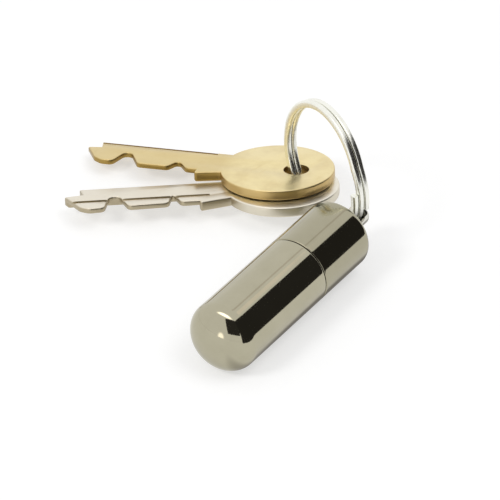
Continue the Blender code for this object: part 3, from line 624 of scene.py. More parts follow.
class Assembly:
    """What every sub-assembly does with its finished pieces."""

    def dress(self, piece: Object, material: Material, body: str, slot: str, node: str,
              angle: float = 35) -> Object:
        """Shade a finished piece, give it its material and stand it in for its node.

        Args:
            piece: The finished piece.
            material: Its finish.
            body: The CAD body it moves with.
            slot: A material slot's name, not used.
            node: The CAD node it replaces.
            angle: Edges sharper than this, in degrees, stay hard.

        Returns:
            The piece.
        """
        only(piece)
        bpy.ops.object.shade_smooth_by_angle(angle=math.radians(angle))
        piece.data.materials.append(material)
        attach(piece, body)
        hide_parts(node)
        log.info("%s: %d faces on %s", piece.name, len(piece.data.polygons), body)
        return piece


def o_ring(name: str, middle: float, at: float, pressed: float, cord: float = 0.4) -> Object:
    """An O-ring on the capsule's axis: round cord with its moulding line round the outside.

    Args:
        name: The piece's name.
        middle: The radius of its cord's middle.
        at: Where it lies along the capsule.
        pressed: How far its flattened side is from the cord's middle.
        cord: The radius of its cord.

    Returns:
        The ring.
    """
    moulding_line = 0.015
    section = [(x, max(y, at - pressed)) for x, y in arc((middle, at), cord, 0, 345, 23)]
    section[0] = (section[0][0] + moulding_line, at)
    return turned(name, CAPSULE, section, closed=True)


@dataclass
class Capsule(Assembly):
    """The tank with its dome and neck, the cap, the post riveted in it and the cap's seal."""

    radius: float = 7.5
    tank_length: float = 29.7
    dome: float = 5.3
    bore: float = 4.95
    bore_floor: float = 3.2
    neck: float = 6.0
    neck_top: float = 35.7
    neck_thread_start: float = 31.0
    neck_thread_turns: int = 4
    thread_pitch: float = 0.9
    thread_depth: float = 0.35
    thread_sink: float = 0.05
    cap_rim: float = 29.95
    mouth: float = 7.0
    mouth_end: float = 30.7
    cap_thread: float = 6.15
    cap_thread_start: float = 31.6
    cap_thread_turns: int = 5
    ceiling: float = 45.05
    cap_shoulder: float = 44.75
    cap_fillet: float = 1.5
    crown_rise: float = 0.5
    seam_round: float = 0.22
    post_radius: float = 2.3
    post_round: float = 1.3
    post_end: float = 54.35
    post_hold: float = 2.0
    post_gap: float = 0.15
    tenon: float = 1.4
    tenon_hole: float = 1.55
    rivet: float = 2.2
    rivet_height: float = 0.5
    hole_radius: float = 1.65
    flare: float = 0.5
    seal_gap: float = 0.5
    seal_pressed: float = 0.36
    hold: float = 0.5
    crown_steps: int = 8

    def build(self) -> None:
        """Model and dress the four pieces."""
        # Nickel on brass, buffed on a mop: a near mirror, a little grey and warm
        plated = Metal("buffed_nickel_plate", "B3AE98", "A6A18A", 0.07, 0.35, 0.0006,
                       Lay.ROUND_THE_PIECE, CAPSULE, 0.35).build()
        # The same plate as the tank, made a shade darker on the cap: painted shade
        shaded_cap_plate = Metal("buffed_nickel_plate_of_the_cap", "A9A48E", "9D9882", 0.08, 0.35, 0.0006,
                       Lay.ROUND_THE_PIECE, CAPSULE, 0.35).build()
        # Chromium over nickel, bright from the bath: whiter than the buffed plate
        bright = Metal("bright_chrome_plate", "D9D7CE", "C6C3B8", 0.08, 0.3, 0.0006, stained=0.4).build()
        # Moulded nitrile: nearly black, dull, and greyer where its bloom lies
        rubber = Rubber("moulded_nitrile_rubber").build()
        self.dress(self.tank(), plated, "tank", "polished_chrome", "tank_shell")
        self.dress(self.cap(), shaded_cap_plate, "cap", "polished_chrome", "cap_shell")
        self.dress(self.post(), bright, "cap", "polished_chrome", "ring_post", angle=50)
        seal = o_ring("cap_o_ring", self.neck + self.seal_gap, self.tank_length + self.seal_gap,
                      self.seal_pressed)
        self.dress(seal, rubber, "seal", "black_rubber", "cap_seal")

    def tank(self) -> Object:
        """The tank: an elliptical dome, a straight wall, and the threaded neck."""
        dome = [(x, self.dome * (1 + y / self.radius)) for x, y in arc((0, 0), self.radius, -90, 0, 32)]
        root = self.neck - self.thread_depth
        shell = turned("tank_body", CAPSULE, [
            *dome,
            (self.radius, self.dome + self.hold),
            (self.radius, self.tank_length - self.hold),
            (self.radius, self.tank_length, self.seam_round),
            (root, self.tank_length, 0.1),
            (root, self.neck_top, 0.25),
            (self.bore, self.neck_top, 0.12),
            (self.bore, self.bore_floor, 0.8),
            (0, self.bore_floor),
        ], segments=128)
        return joined(shell, self.thread(root, self.neck, self.neck_thread_start, self.neck_thread_turns))

    def thread(self, root: float, crest: float, start: float, turns: int) -> Object:
        """One rolled thread ridge, sunk a little into its wall.

        Args:
            root: The radius it stands on.
            crest: The radius of its crest.
            start: Where it starts along the capsule.
            turns: How many turns.

        Returns:
            The ridge.
        """
        foot = root - math.copysign(self.thread_sink, crest - root)
        flank = root + (crest - root) * 0.8
        wide = self.thread_pitch * 0.38
        section = [(foot, -wide), (flank, -wide * 0.35), (crest, 0), (flank, wide * 0.35), (foot, wide)]
        return coil("thread", CAPSULE.moved(0, start), section, self.thread_pitch, turns, 96)

    def crown(self, radius: float) -> float:
        """How far along the cap's low crown lies at a radius."""
        flat = self.radius - self.cap_fillet
        sphere = (flat**2 + self.crown_rise**2) / (2 * self.crown_rise)
        top = self.cap_shoulder + self.cap_fillet + self.crown_rise
        return top - sphere + math.sqrt(sphere**2 - radius**2)

    def cap(self) -> Object:
        """The cap: a bored cup with a low crown and a hole for the post's tenon."""
        seat = self.post_radius + self.post_gap
        flat = self.radius - self.cap_fillet
        crown = [seat + (flat - seat) * i / self.crown_steps for i in range(self.crown_steps + 1)]
        wall = self.cap_thread + self.thread_depth
        shell = turned("cap_body", CAPSULE, [
            (self.tenon_hole, self.crown(seat)),
            *[(x, self.crown(x)) for x in crown],
            *arc((flat, self.cap_shoulder), self.cap_fillet, 90, 0, 10)[1:],
            (self.radius, self.cap_shoulder - self.hold),
            (self.radius, self.cap_rim + self.hold),
            (self.radius, self.cap_rim, self.seam_round),
            (self.mouth, self.cap_rim, 0.1),
            (self.mouth, self.mouth_end, 0.1),
            (wall, self.mouth_end, 0.15),
            (wall, self.ceiling, 0.3),
            (self.tenon_hole, self.ceiling),
        ], closed=True, segments=128)
        thread = self.thread(wall, self.cap_thread, self.cap_thread_start, self.cap_thread_turns)
        return joined(shell, thread)

    def post(self) -> Object:
        """The post with its flared cross hole, and the tenon's riveted head in the cap."""
        foot = self.crown(self.post_radius + self.post_gap) + self.post_gap
        head = self.ceiling - self.post_gap
        rounding = arc((self.post_radius - self.post_round, self.post_end - self.post_round),
                       self.post_round, 90, 0, 10)
        post = turned("ring_post_turned", CAPSULE, [
            (0, self.post_end),
            *rounding,
            (self.post_radius, self.post_end - self.post_hold),
            (self.post_radius, foot, 0.12),
            (self.tenon, foot),
            (self.tenon, head),
            (self.rivet, head, 0.08),
            (self.rivet, head - self.rivet_height, 0.24),
            (0, head - self.rivet_height),
        ])
        reach = self.post_radius + self.flare
        shares = [i / 8 for i in range(8, -9, -1)]
        flared = [(self.hole_radius + self.flare * share**2, reach * share) for share in shares]
        cut_away(post, turned("cross_drill", SplitRing().post_hole(), [(0, reach), *flared, (0, -reach)],
                              segments=64))
        return post


@dataclass
class SplitRing(Assembly):
    """The split ring: flat wire wound twice round, with a jog where a turn makes room."""

    radius: float = 13.2
    thickness: float = 1.58
    width: float = 1.2
    edge: float = 0.42
    pitch: float = 1.32
    turns: float = 2.05
    jog: float = math.radians(24)
    azimuth: float = math.radians(24)
    lean: float = math.radians(-2.4)
    post_at: float = math.radians(-149.5)
    hole_at: float = 50.9
    start: float = math.radians(-184)
    step: float = math.radians(2)

    def axis(self) -> Axis:
        """The ring's axis, from its centre: its circle runs through the post's hole."""
        along = direction(self.azimuth, self.lean)
        hole = Axis(CAPSULE.at(0, self.hole_at), along, Z_AXIS.cross(along).normalized())
        return Axis(hole.around(-self.radius, self.post_at), along, hole.across)

    def point(self, angle: float, along: float = 0.0) -> Vector:
        """The place on the ring's middle circle at an angle, moved along its axis."""
        return self.axis().around(self.radius, angle, along)

    def post_hole(self) -> Axis:
        """The post's cross hole, square to the post and as near as can be to the wire."""
        ring = self.axis()
        wire = math.sin(self.post_at) * ring.across - math.cos(self.post_at) * ring.aside
        toward = (wire - wire.dot(Y_AXIS) * Y_AXIS).normalized()
        return Axis(CAPSULE.at(0, self.hole_at), toward, toward.cross(Y_AXIS).normalized())

    def drift(self, turned_by: float) -> float:
        """How far the wire lies along the ring's axis after an angle."""
        turns, along = divmod(turned_by, FULL_TURN)
        rising = min(1.0, along / self.jog) + max(0.0, 1.0 + (along - FULL_TURN) / self.jog)
        return self.pitch * (turns - 1.0 + rising / 2)

    def build(self) -> None:
        """Model and dress the ring."""
        # Bright nickel over sprung steel wire, tumbled: the whitest metal of the group
        bright = Metal("tumbled_bright_nickel_wire", "F8F8F0", "E8E7DB", 0.26, 0.4, 0.001, stained=0.4,
                       scratches=0.3).build()
        self.dress(self.wire(), bright, "ring", "polished_chrome", "split_ring")

    def wire(self) -> Object:
        """Wind the wire: a flat section spun about the axis, moved along it in the jogs."""
        axis = self.axis()
        radial = math.cos(self.start) * axis.across + math.sin(self.start) * axis.aside
        ring = square("split_ring_wire", placed(
            self.point(self.start, self.drift(0)), radial * self.thickness * MM,
            axis.along * self.width * MM, radial.cross(axis.along)))
        total = FULL_TURN * self.turns
        with editing(ring):
            bpy.ops.mesh.bevel(offset=self.edge * MM, segments=5, affect="VERTICES")
            bpy.ops.mesh.select_mode(type="FACE")
            bpy.ops.mesh.select_all(action="SELECT")
            turned_by = 0.0
            while turned_by < total - TINY:
                along = turned_by % FULL_TURN
                flat_left = FULL_TURN - self.jog - along
                span, steps = min(self.step, total - turned_by), 1
                if along > self.jog - TINY and flat_left > TINY:
                    span = min(flat_left, total - turned_by)
                    steps = max(1, round(span / self.step))
                bpy.ops.mesh.spin(steps=steps, angle=-span, center=axis.origin, axis=axis.along)
                rise = self.drift(turned_by + span) - self.drift(turned_by)
                if abs(rise) > TINY:
                    bpy.ops.transform.translate(value=axis.along * rise * MM)
                turned_by += span
            clean()
        return ring


@dataclass
class Insert(Assembly):
    """The lighter that pulls out of the tank: collar, barrel, wick and what is in them."""

    flange: float = 5.75
    flange_bottom: float = 35.85
    flange_top: float = 36.85
    barrel: float = 4.8
    barrel_inside: float = 4.45
    barrel_top: float = 32.45
    barrel_bottom: float = 5.0
    bead_drop: float = 1.6
    bead_half: float = 0.4
    bead_depth: float = 0.14
    plug_bottom: float = 32.6
    seal_at: float = 34.225
    seal_radius: float = 4.45
    seal_room: float = 0.5
    seal_cord: float = 0.4
    spigot: float = 4.3
    spigot_end: float = 31.2
    tube: float = 1.65
    tube_inside: float = 1.35
    tube_top: float = 37.2
    tube_bottom: float = 5.95
    mouth_depth: float = 0.3
    mouth_flare: float = 0.1
    tube_play: float = 0.1
    screw_gap: float = 0.15
    screw_shank: float = 1.05
    screw_length: float = 2.9
    screw_head: float = 2.2
    head_height: float = 0.9
    slot_width: float = 0.6
    slot_depth: float = 0.4
    screw_crest: float = 1.2
    screw_root: float = 1.02
    screw_pitch: float = 0.4
    screw_start: float = 0.3
    screw_turns: int = 5
    spring_bottom: float = 9.03
    spring_top: float = 31.47
    spring_radius: float = 0.92
    spring_wire: float = 0.18
    spring_turns: int = 18
    flint_stroke: float = 2.0
    soft_radius: float = 4.25
    soft_play: float = 0.2
    hole_reach: float = 2.4
    dip_size: float = 1.2
    wadding_span: tuple[float, float] = (7.9, 31.0)
    felt_span: tuple[float, float] = (6.1, 7.7)
    wick_at: float = 2.5
    wick_radius: float = 0.8
    wick_play: float = 0.15
    wick_bottom: float = 19.85
    wick_top: float = 40.25
    wick_lean: float = 0.2
    wick_steps: int = 68
    wick_straight: int = 57
    frayed: int = 3
    ply_points: int = 48

    def build(self) -> None:
        """Model and dress the insert's pieces."""
        # Electroplated nickel on turned brass: satin, with fine turning marks round it
        plated = Metal("satin_nickel_on_turned_brass", "C9C5BA", "B2AC9C", 0.22, 0.12, 0.002,
                       Lay.ROUND_THE_PIECE, CAPSULE).build()
        # Drawn brass tube, a little tarnished
        brass = Metal("drawn_brass", "C9A25A", "9C7638", 0.27, 0.15, 0.002, Lay.ROUND_THE_PIECE,
                      FLINT_LINE, 0.5).build()
        # Drawn and tempered spring wire: grey with a straw tint
        wire = Metal("tempered_spring_wire", "A9A9A6", "8F8A7A", 0.24, 0.1, 0.001).build()
        # The same black rubber as the cap's seal, on the plug
        rubber = Rubber("moulded_nitrile_rubber_plug").build()
        # Cotton wool packed into the barrel, and wool felt that keeps it there
        wool = Fibre("packed_cotton_wool", "EFEBDD", "CFC8B4", 0.35, 0.12).build()
        felt = Fibre("pressed_wool_felt", "D2CAB6", "AFA58C", 0.25, 0.08).build()
        # Bleached cotton, twisted hard: the palest fibre, finely lined
        cord = Fibre("plied_cotton_wick", "F5F0E4", "D9D0BA", 0.09, 0.03).build()
        self.dress(self.collar(), plated, "insert", "nickel_plate", "insert_collar")
        self.dress(self.barrel_tube(), plated, "insert", "nickel_plate", "insert_barrel")
        seal = o_ring("plug_o_ring", self.seal_radius, self.seal_at, self.seal_cord)
        self.dress(seal, rubber, "insert", "black_rubber", "insert_seal")
        self.dress(self.flint_tube(), brass, "insert", "tube_brass", "flint_tube")
        self.dress(self.screw(), brass, "insert", "tube_brass", "spring_screw")
        self.dress(self.spring(), wire, "insert", "spring_steel", "flint_spring")
        wadding = self.packed("barrel_wadding", *self.wadding_span, 0.35)
        self.dress(wadding, wool, "insert", "cotton", "wadding", angle=180)
        pad = self.packed("barrel_felt", *self.felt_span, 0.12)
        self.dress(pad, felt, "insert", "felt", "felt_pad", angle=180)
        self.dress(self.wick(), cord, "insert", "cotton", "wick", angle=60)

    def collar(self) -> Object:
        """Flange, plug with its seal groove and the spigot, drilled for tube and wick."""
        groove = self.seal_radius - self.seal_room
        low, high = self.seal_at - self.seal_room, self.seal_at + self.seal_room
        collar = turned("insert_collar_turned", CAPSULE, [
            (0, self.flange_top),
            (self.flange, self.flange_top, 0.28),
            (self.flange, self.flange_bottom, 0.12),
            (self.barrel, self.flange_bottom, 0.05),
            (self.barrel, high, 0.05),
            (groove, high, 0.05),
            (groove, low, 0.05),
            (self.barrel, low, 0.05),
            (self.barrel, self.plug_bottom, 0.08),
            (self.spigot, self.plug_bottom, 0.05),
            (self.spigot, self.spigot_end, 0.2),
            (0, self.spigot_end),
        ])
        for axis, radius in ((FLINT_LINE, self.tube + self.tube_play),
                             (CAPSULE.moved(self.wick_at), self.wick_radius + self.wick_play)):
            cut_away(collar, drill(axis, radius, self.spigot_end - 1, self.flange_top + 1))
        return collar

    def barrel_tube(self) -> Object:
        """The barrel: a drawn tube with a rolled bead near its top and softened ends."""
        bead = self.barrel_top - self.bead_drop
        return turned("insert_barrel_drawn", CAPSULE, [
            (self.barrel, self.barrel_bottom, 0.12),
            (self.barrel, bead - self.bead_half, 0.1),
            (self.barrel - self.bead_depth, bead, 0.2),
            (self.barrel, bead + self.bead_half, 0.1),
            (self.barrel, self.barrel_top, 0.12),
            (self.barrel_inside, self.barrel_top, 0.1),
            (self.barrel_inside, self.barrel_bottom, 0.1),
        ], closed=True)

    def flint_tube(self) -> Object:
        """The tube for flint and spring, its mouth opened a little."""
        return turned("flint_tube_drawn", FLINT_LINE, [
            (self.tube, self.tube_top, 0.08),
            (self.tube, self.tube_bottom, 0.1),
            (self.tube_inside, self.tube_bottom, 0.05),
            (self.tube_inside, self.tube_top - self.mouth_depth, 0.1),
            (self.tube_inside + self.mouth_flare, self.tube_top, 0.05),
        ], closed=True, segments=64)

    def screw(self) -> Object:
        """The slotted screw under the spring, with its thread."""
        top = self.tube_bottom - self.screw_gap
        end = top + self.screw_length
        bottom = top - self.head_height
        screw = turned("spring_screw_turned", FLINT_LINE, [
            (0, end),
            (self.screw_shank, end, 0.15),
            (self.screw_shank, top),
            (self.screw_head, top, 0.06),
            (self.screw_head, bottom, 0.3),
            (0, bottom),
        ], segments=64)
        side, wide = 2 * self.screw_head, self.slot_width / 2
        cut_away(screw, cutter_box(FLINT_LINE, (-side, bottom - 1, -wide),
                                   (side, bottom + self.slot_depth, wide)))
        start = FLINT_LINE.moved(0, top + self.screw_start)
        flank = self.screw_pitch * 0.4
        ridge = [(self.screw_root, -flank), (self.screw_crest, 0), (self.screw_root, flank)]
        return joined(screw, coil("thread", start, ridge, self.screw_pitch, self.screw_turns, 32))

    def spring(self) -> Object:
        """The compression spring, wound from spring_bottom to spring_top."""
        length = self.spring_top - self.spring_bottom
        bottom = FLINT_LINE.moved(0, self.spring_bottom)
        section = arc((self.spring_radius, 0), self.spring_wire, 0, 330, 11)
        spring = coil("flint_spring_wound", bottom, section, length / self.spring_turns,
                      self.spring_turns, 24)
        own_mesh(spring)
        return spring

    def packed(self, name: str, bottom: float, top: float, wander: float) -> Object:
        """Soft fill of the barrel, with the flint tube's hole and an uneven surface.

        Args:
            name: The piece's name.
            bottom: Its lower end along the capsule.
            top: Its upper end.
            wander: How far its surface dips, at most.

        Returns:
            The piece.
        """
        hole, ridge = self.tube + self.soft_play, self.soft_radius * 0.7
        piece = turned(name, CAPSULE, [
            (hole, top, 0.3),
            (ridge, top),
            (self.soft_radius, top, 0.5),
            (self.soft_radius, bottom, 0.5),
            (ridge, bottom),
            (hole, bottom, 0.3),
        ], closed=True, segments=72)
        with editing(piece):
            reach = self.hole_reach * MM
            pick(piece, "verts", lambda at: (at - CAPSULE.origin).cross(Y_AXIS).length < reach)
            bpy.ops.transform.translate(value=FLINT_LINE.origin - CAPSULE.origin)
            bpy.ops.mesh.select_all(action="SELECT")
            bpy.ops.mesh.subdivide(number_cuts=1, smoothness=0)
        cloud = bpy.data.textures.new(name + "_dips", "CLOUDS")
        cloud.noise_scale = self.dip_size * MM
        modify(piece, "DISPLACE", texture=cloud, texture_coords="GLOBAL", strength=wander * MM, mid_level=1)
        return piece

    def wick(self) -> Object:
        """A four-ply cotton cord, twisted as it goes up, its tip frayed and leaning."""
        axis = CAPSULE.moved(self.wick_at)
        ply = []
        for step in range(self.ply_points):
            angle = FULL_TURN * step / self.ply_points
            reach = self.wick_radius * (0.72 + 0.28 * abs(math.cos(2 * angle)) ** 0.6)
            ply.append(axis.around(reach, angle, self.wick_bottom))
        cord = chain("wick_cord", ply, closed=True)
        rise = (self.wick_top - self.wick_bottom) / self.wick_steps
        leaning = self.wick_steps - self.wick_straight
        with editing(cord):
            bpy.ops.mesh.edge_face_add()
            for step in range(self.wick_steps):
                share = max(0.0, (step - self.wick_straight) / leaning)
                lean = -self.wick_lean * share**2
                before = -self.wick_lean * max(0.0, share - 1 / leaning) ** 2
                extrude(Vector((lean - before, rise, 0)) * MM)
                middle = axis.at(lean, self.wick_bottom + rise * (step + 1))
                bpy.ops.transform.rotate(value=math.radians(14), orient_axis="Y", center_override=middle)
                if step >= self.wick_steps - self.frayed:
                    bpy.ops.transform.resize(value=(0.93, 1.0, 0.93), center_override=middle)
            bpy.ops.mesh.inset(thickness=0.18 * MM)
            bpy.ops.transform.translate(value=(0, -0.15 * MM, 0))
            clean()
        return cord


@dataclass
class Spark(Assembly):
    """The spark wheel on its axle, the bracket that carries it, and the flint under it."""

    wheel_radius: float = 2.9
    tooth_depth: float = 0.32
    teeth: int = 28
    gullet: float = 0.12
    width: float = 2.6
    rows: int = 5
    groove: float = 0.12
    groove_share: float = 0.93
    row_turn: float = math.radians(2.4)
    dish: float = 1.75
    dish_floor: float = 1.55
    dish_depth: float = 0.18
    bore: float = 0.75
    ear_inside: float = 1.6
    sheet: float = 0.5
    ear_radius: float = 2.0
    bend: float = 0.45
    foot_bottom: float = 37.0
    foot_lip: float = 0.5
    flint_hole: float = 1.75
    flint_hole_top: float = 38.0
    axle: float = 0.6
    axle_play: float = 0.1
    axle_head: float = 1.05
    head_height: float = 0.4
    flint_radius: float = 1.15
    flint_span: tuple[float, float] = (32.95, 37.45)
    flint_gap: float = 0.36
    plunger_top: float = 32.8
    plunger_head: float = 31.8
    plunger_end: float = 30.0
    stem: float = 0.5

    def build(self) -> None:
        """Model and dress the wheel, axle, bracket, flint and plunger."""
        # Case-hardened steel, oil quenched: dark grey with a brown cast
        steel = Metal("oil_quenched_steel", "6E6C69", "4C4640", 0.33, 0.2, 0.004, stained=0.7).build()
        # Nickel-plated sheet, stamped and bent: brighter than the turned parts
        sheet = Metal("stamped_nickel_plated_sheet", "CBC7BC", "B0AB9D", 0.2, 0.25, 0.002, Lay.STRAIGHT,
                      Axis(WHEEL.origin, Y_AXIS, X_AXIS)).build()
        # Cold-headed steel: plain grey, smooth from the die
        pin = Metal("cold_headed_steel_pin", "ABABA8", "8C8983", 0.26, 0.15, 0.002).build()
        # Ferrocerium rod: dull, granular and oxidised
        ferro = Metal("cast_ferrocerium", "5A554F", "3D3934", 0.55, 0.18, 0.02, stained=0.8).build()
        # Brass turned from bar: yellow, with rings round it
        brass = Metal("turned_plunger_brass", "C9A25A", "A07C3E", 0.3, 0.12, 0.002, Lay.ROUND_THE_PIECE,
                      FLINT_LINE, 0.4).build()
        self.dress(self.wheel(), steel, "wheel", "hardened_steel", "spark_wheel", angle=25)
        self.dress(self.bracket(), sheet, "insert", "nickel_plate", "wheel_bracket", angle=40)
        self.dress(self.pin(), pin, "insert", "spring_steel", "wheel_axle")
        self.dress(self.flint(), ferro, "flint_feed", "flint_metal", "flint")
        self.dress(self.plunger(), brass, "flint_feed", "tube_brass", "flint_plunger")

    def wheel(self) -> Object:
        """The wheel: saw teeth in rows, each row cut off from the next by a groove."""
        half = self.width / 2
        root = self.wheel_radius - self.tooth_depth
        outline = []
        for tooth in range(self.teeth):
            for share, radius in ((0, self.wheel_radius), (self.gullet, root)):
                outline.append(WHEEL.around(radius, FULL_TURN * (tooth + share) / self.teeth, -half))
        wheel = chain("spark_wheel_cut", outline, closed=True)
        crest = (self.width - self.groove * (self.rows - 1)) / self.rows
        moves = [(crest, 1), (self.groove / 2, self.groove_share), (self.groove / 2, 1 / self.groove_share)]
        level = -half
        with editing(wheel):
            bpy.ops.mesh.edge_face_add()
            for rise, grow in (moves * self.rows)[:-2]:
                extrude((0, 0, rise * MM))
                level += rise
                middle = WHEEL.at(0, level)
                if grow == 1:
                    bpy.ops.transform.rotate(value=self.row_turn, orient_axis="Z", center_override=middle)
                else:
                    bpy.ops.transform.resize(value=(grow, grow, 1.0), center_override=middle)
            clean()
        for side in (-1, 1):
            outer, floor = side * (half + 1), side * (half - self.dish_depth)
            cut_away(wheel, turned("dish", WHEEL, [
                (0, outer), (self.dish, outer), (self.dish, side * half),
                (self.dish_floor, floor), (0, floor),
            ], segments=64))
        cut_away(wheel, drill(WHEEL, self.bore, -self.width, self.width))
        return wheel

    def bracket(self) -> Object:
        """A sheet bent to a foot and two ears, with round tops and an axle hole."""
        middle = self.ear_inside + self.sheet / 2
        foot = self.foot_bottom + self.sheet / 2
        top = WHEEL_AT + self.ear_radius
        bends = rounded([
            (top, -middle), (foot, -middle, self.bend), (foot, middle, self.bend), (top, middle),
        ], closed=False, steps=5)
        start = FLINT_LINE.moved(-self.ear_radius)
        piece = chain("wheel_bracket_bent", [start.at(0, y, -z) for y, z in bends], closed=False)
        near = 0.01 * MM
        with editing(piece, "EDGE"):
            wide = 2 * self.ear_radius * MM
            bpy.ops.mesh.extrude_edges_move(TRANSFORM_OT_translate={"value": (wide, 0, 0)})
            for side in (-1, 1):
                edge_of_foot = FLINT_LINE.at(side * self.ear_radius, foot)
                pick(piece, "edges", lambda at: (at - edge_of_foot).length < near)
                lip = side * self.foot_lip * MM
                bpy.ops.mesh.extrude_edges_move(TRANSFORM_OT_translate={"value": (lip, 0, 0)})
            bpy.ops.mesh.select_mode(type="VERT")
            pick(piece, "verts", lambda at: at.y > start.at(0, top).y - near)
            bpy.ops.mesh.bevel(offset=self.ear_radius * 0.995 * MM, segments=14, affect="VERTICES")
            clean(0.02)
        modify(piece, "SOLIDIFY", thickness=self.sheet * MM, offset=0, use_even_offset=True)
        with editing(piece):
            clean()
        cut_away(piece, drill(WHEEL, self.axle + self.axle_play, -2 * middle, 2 * middle))
        cut_away(piece, drill(FLINT_LINE, self.flint_hole, foot - 1, self.flint_hole_top))
        soften(piece, 0.07)
        return piece

    def pin(self) -> Object:
        """The axle: a pin with a domed head on either end."""
        face = self.ear_inside + self.sheet + self.axle_play
        half = [
            (0, face + self.head_height, 0),
            (self.axle_head, face + self.head_height, 0.3),
            (self.axle_head, face, 0.04),
            (self.axle, face, 0),
        ]
        other_half = [(x, -y, rounding) for x, y, rounding in reversed(half)]
        return turned("wheel_axle_headed", WHEEL, [*half, (self.axle, 0), *other_half], segments=48)

    def flint(self) -> Object:
        """The flint, its end worn hollow by the wheel."""
        bottom, top = self.flint_span
        flint = turned("flint_rod", FLINT_LINE, [
            (0, top), (self.flint_radius, top, 0.15), (self.flint_radius, bottom, 0.15), (0, bottom),
        ], segments=48)
        cut_away(flint, drill(WHEEL, self.wheel_radius + self.flint_gap, -self.width, self.width, 96))
        return flint

    def plunger(self) -> Object:
        """The plunger: a head on a stem that sits in the spring."""
        return turned("flint_plunger_turned", FLINT_LINE, [
            (0, self.plunger_top),
            (self.flint_radius, self.plunger_top, 0.08),
            (self.flint_radius, self.plunger_head, 0.08),
            (self.stem, self.plunger_head),
            (self.stem, self.plunger_end, 0.15),
            (0, self.plunger_end),
        ], segments=48)


@dataclass(frozen=True)
class Blade:
    """What sets one key apart: its course in degrees, its edges and cuts, and its colours.

    Each cut is four shares of the way from shoulder to tip and the height of its root.
    """

    course: float
    length: float
    back_step: float
    shoulder: float
    far_edge: float
    tip_edge: float
    shoulder_edge: float
    milled_from: float
    groove_at: float
    cuts: tuple[tuple[float, float, float, float, float], ...]
    colours: dict[str, str]

    def uncut(self, share: float) -> tuple[float, float]:
        """The uncut edge at a share of the way from shoulder to tip."""
        along = self.shoulder + share * (self.length - self.shoulder)
        return along, self.shoulder_edge + share * (self.tip_edge - self.shoulder_edge)


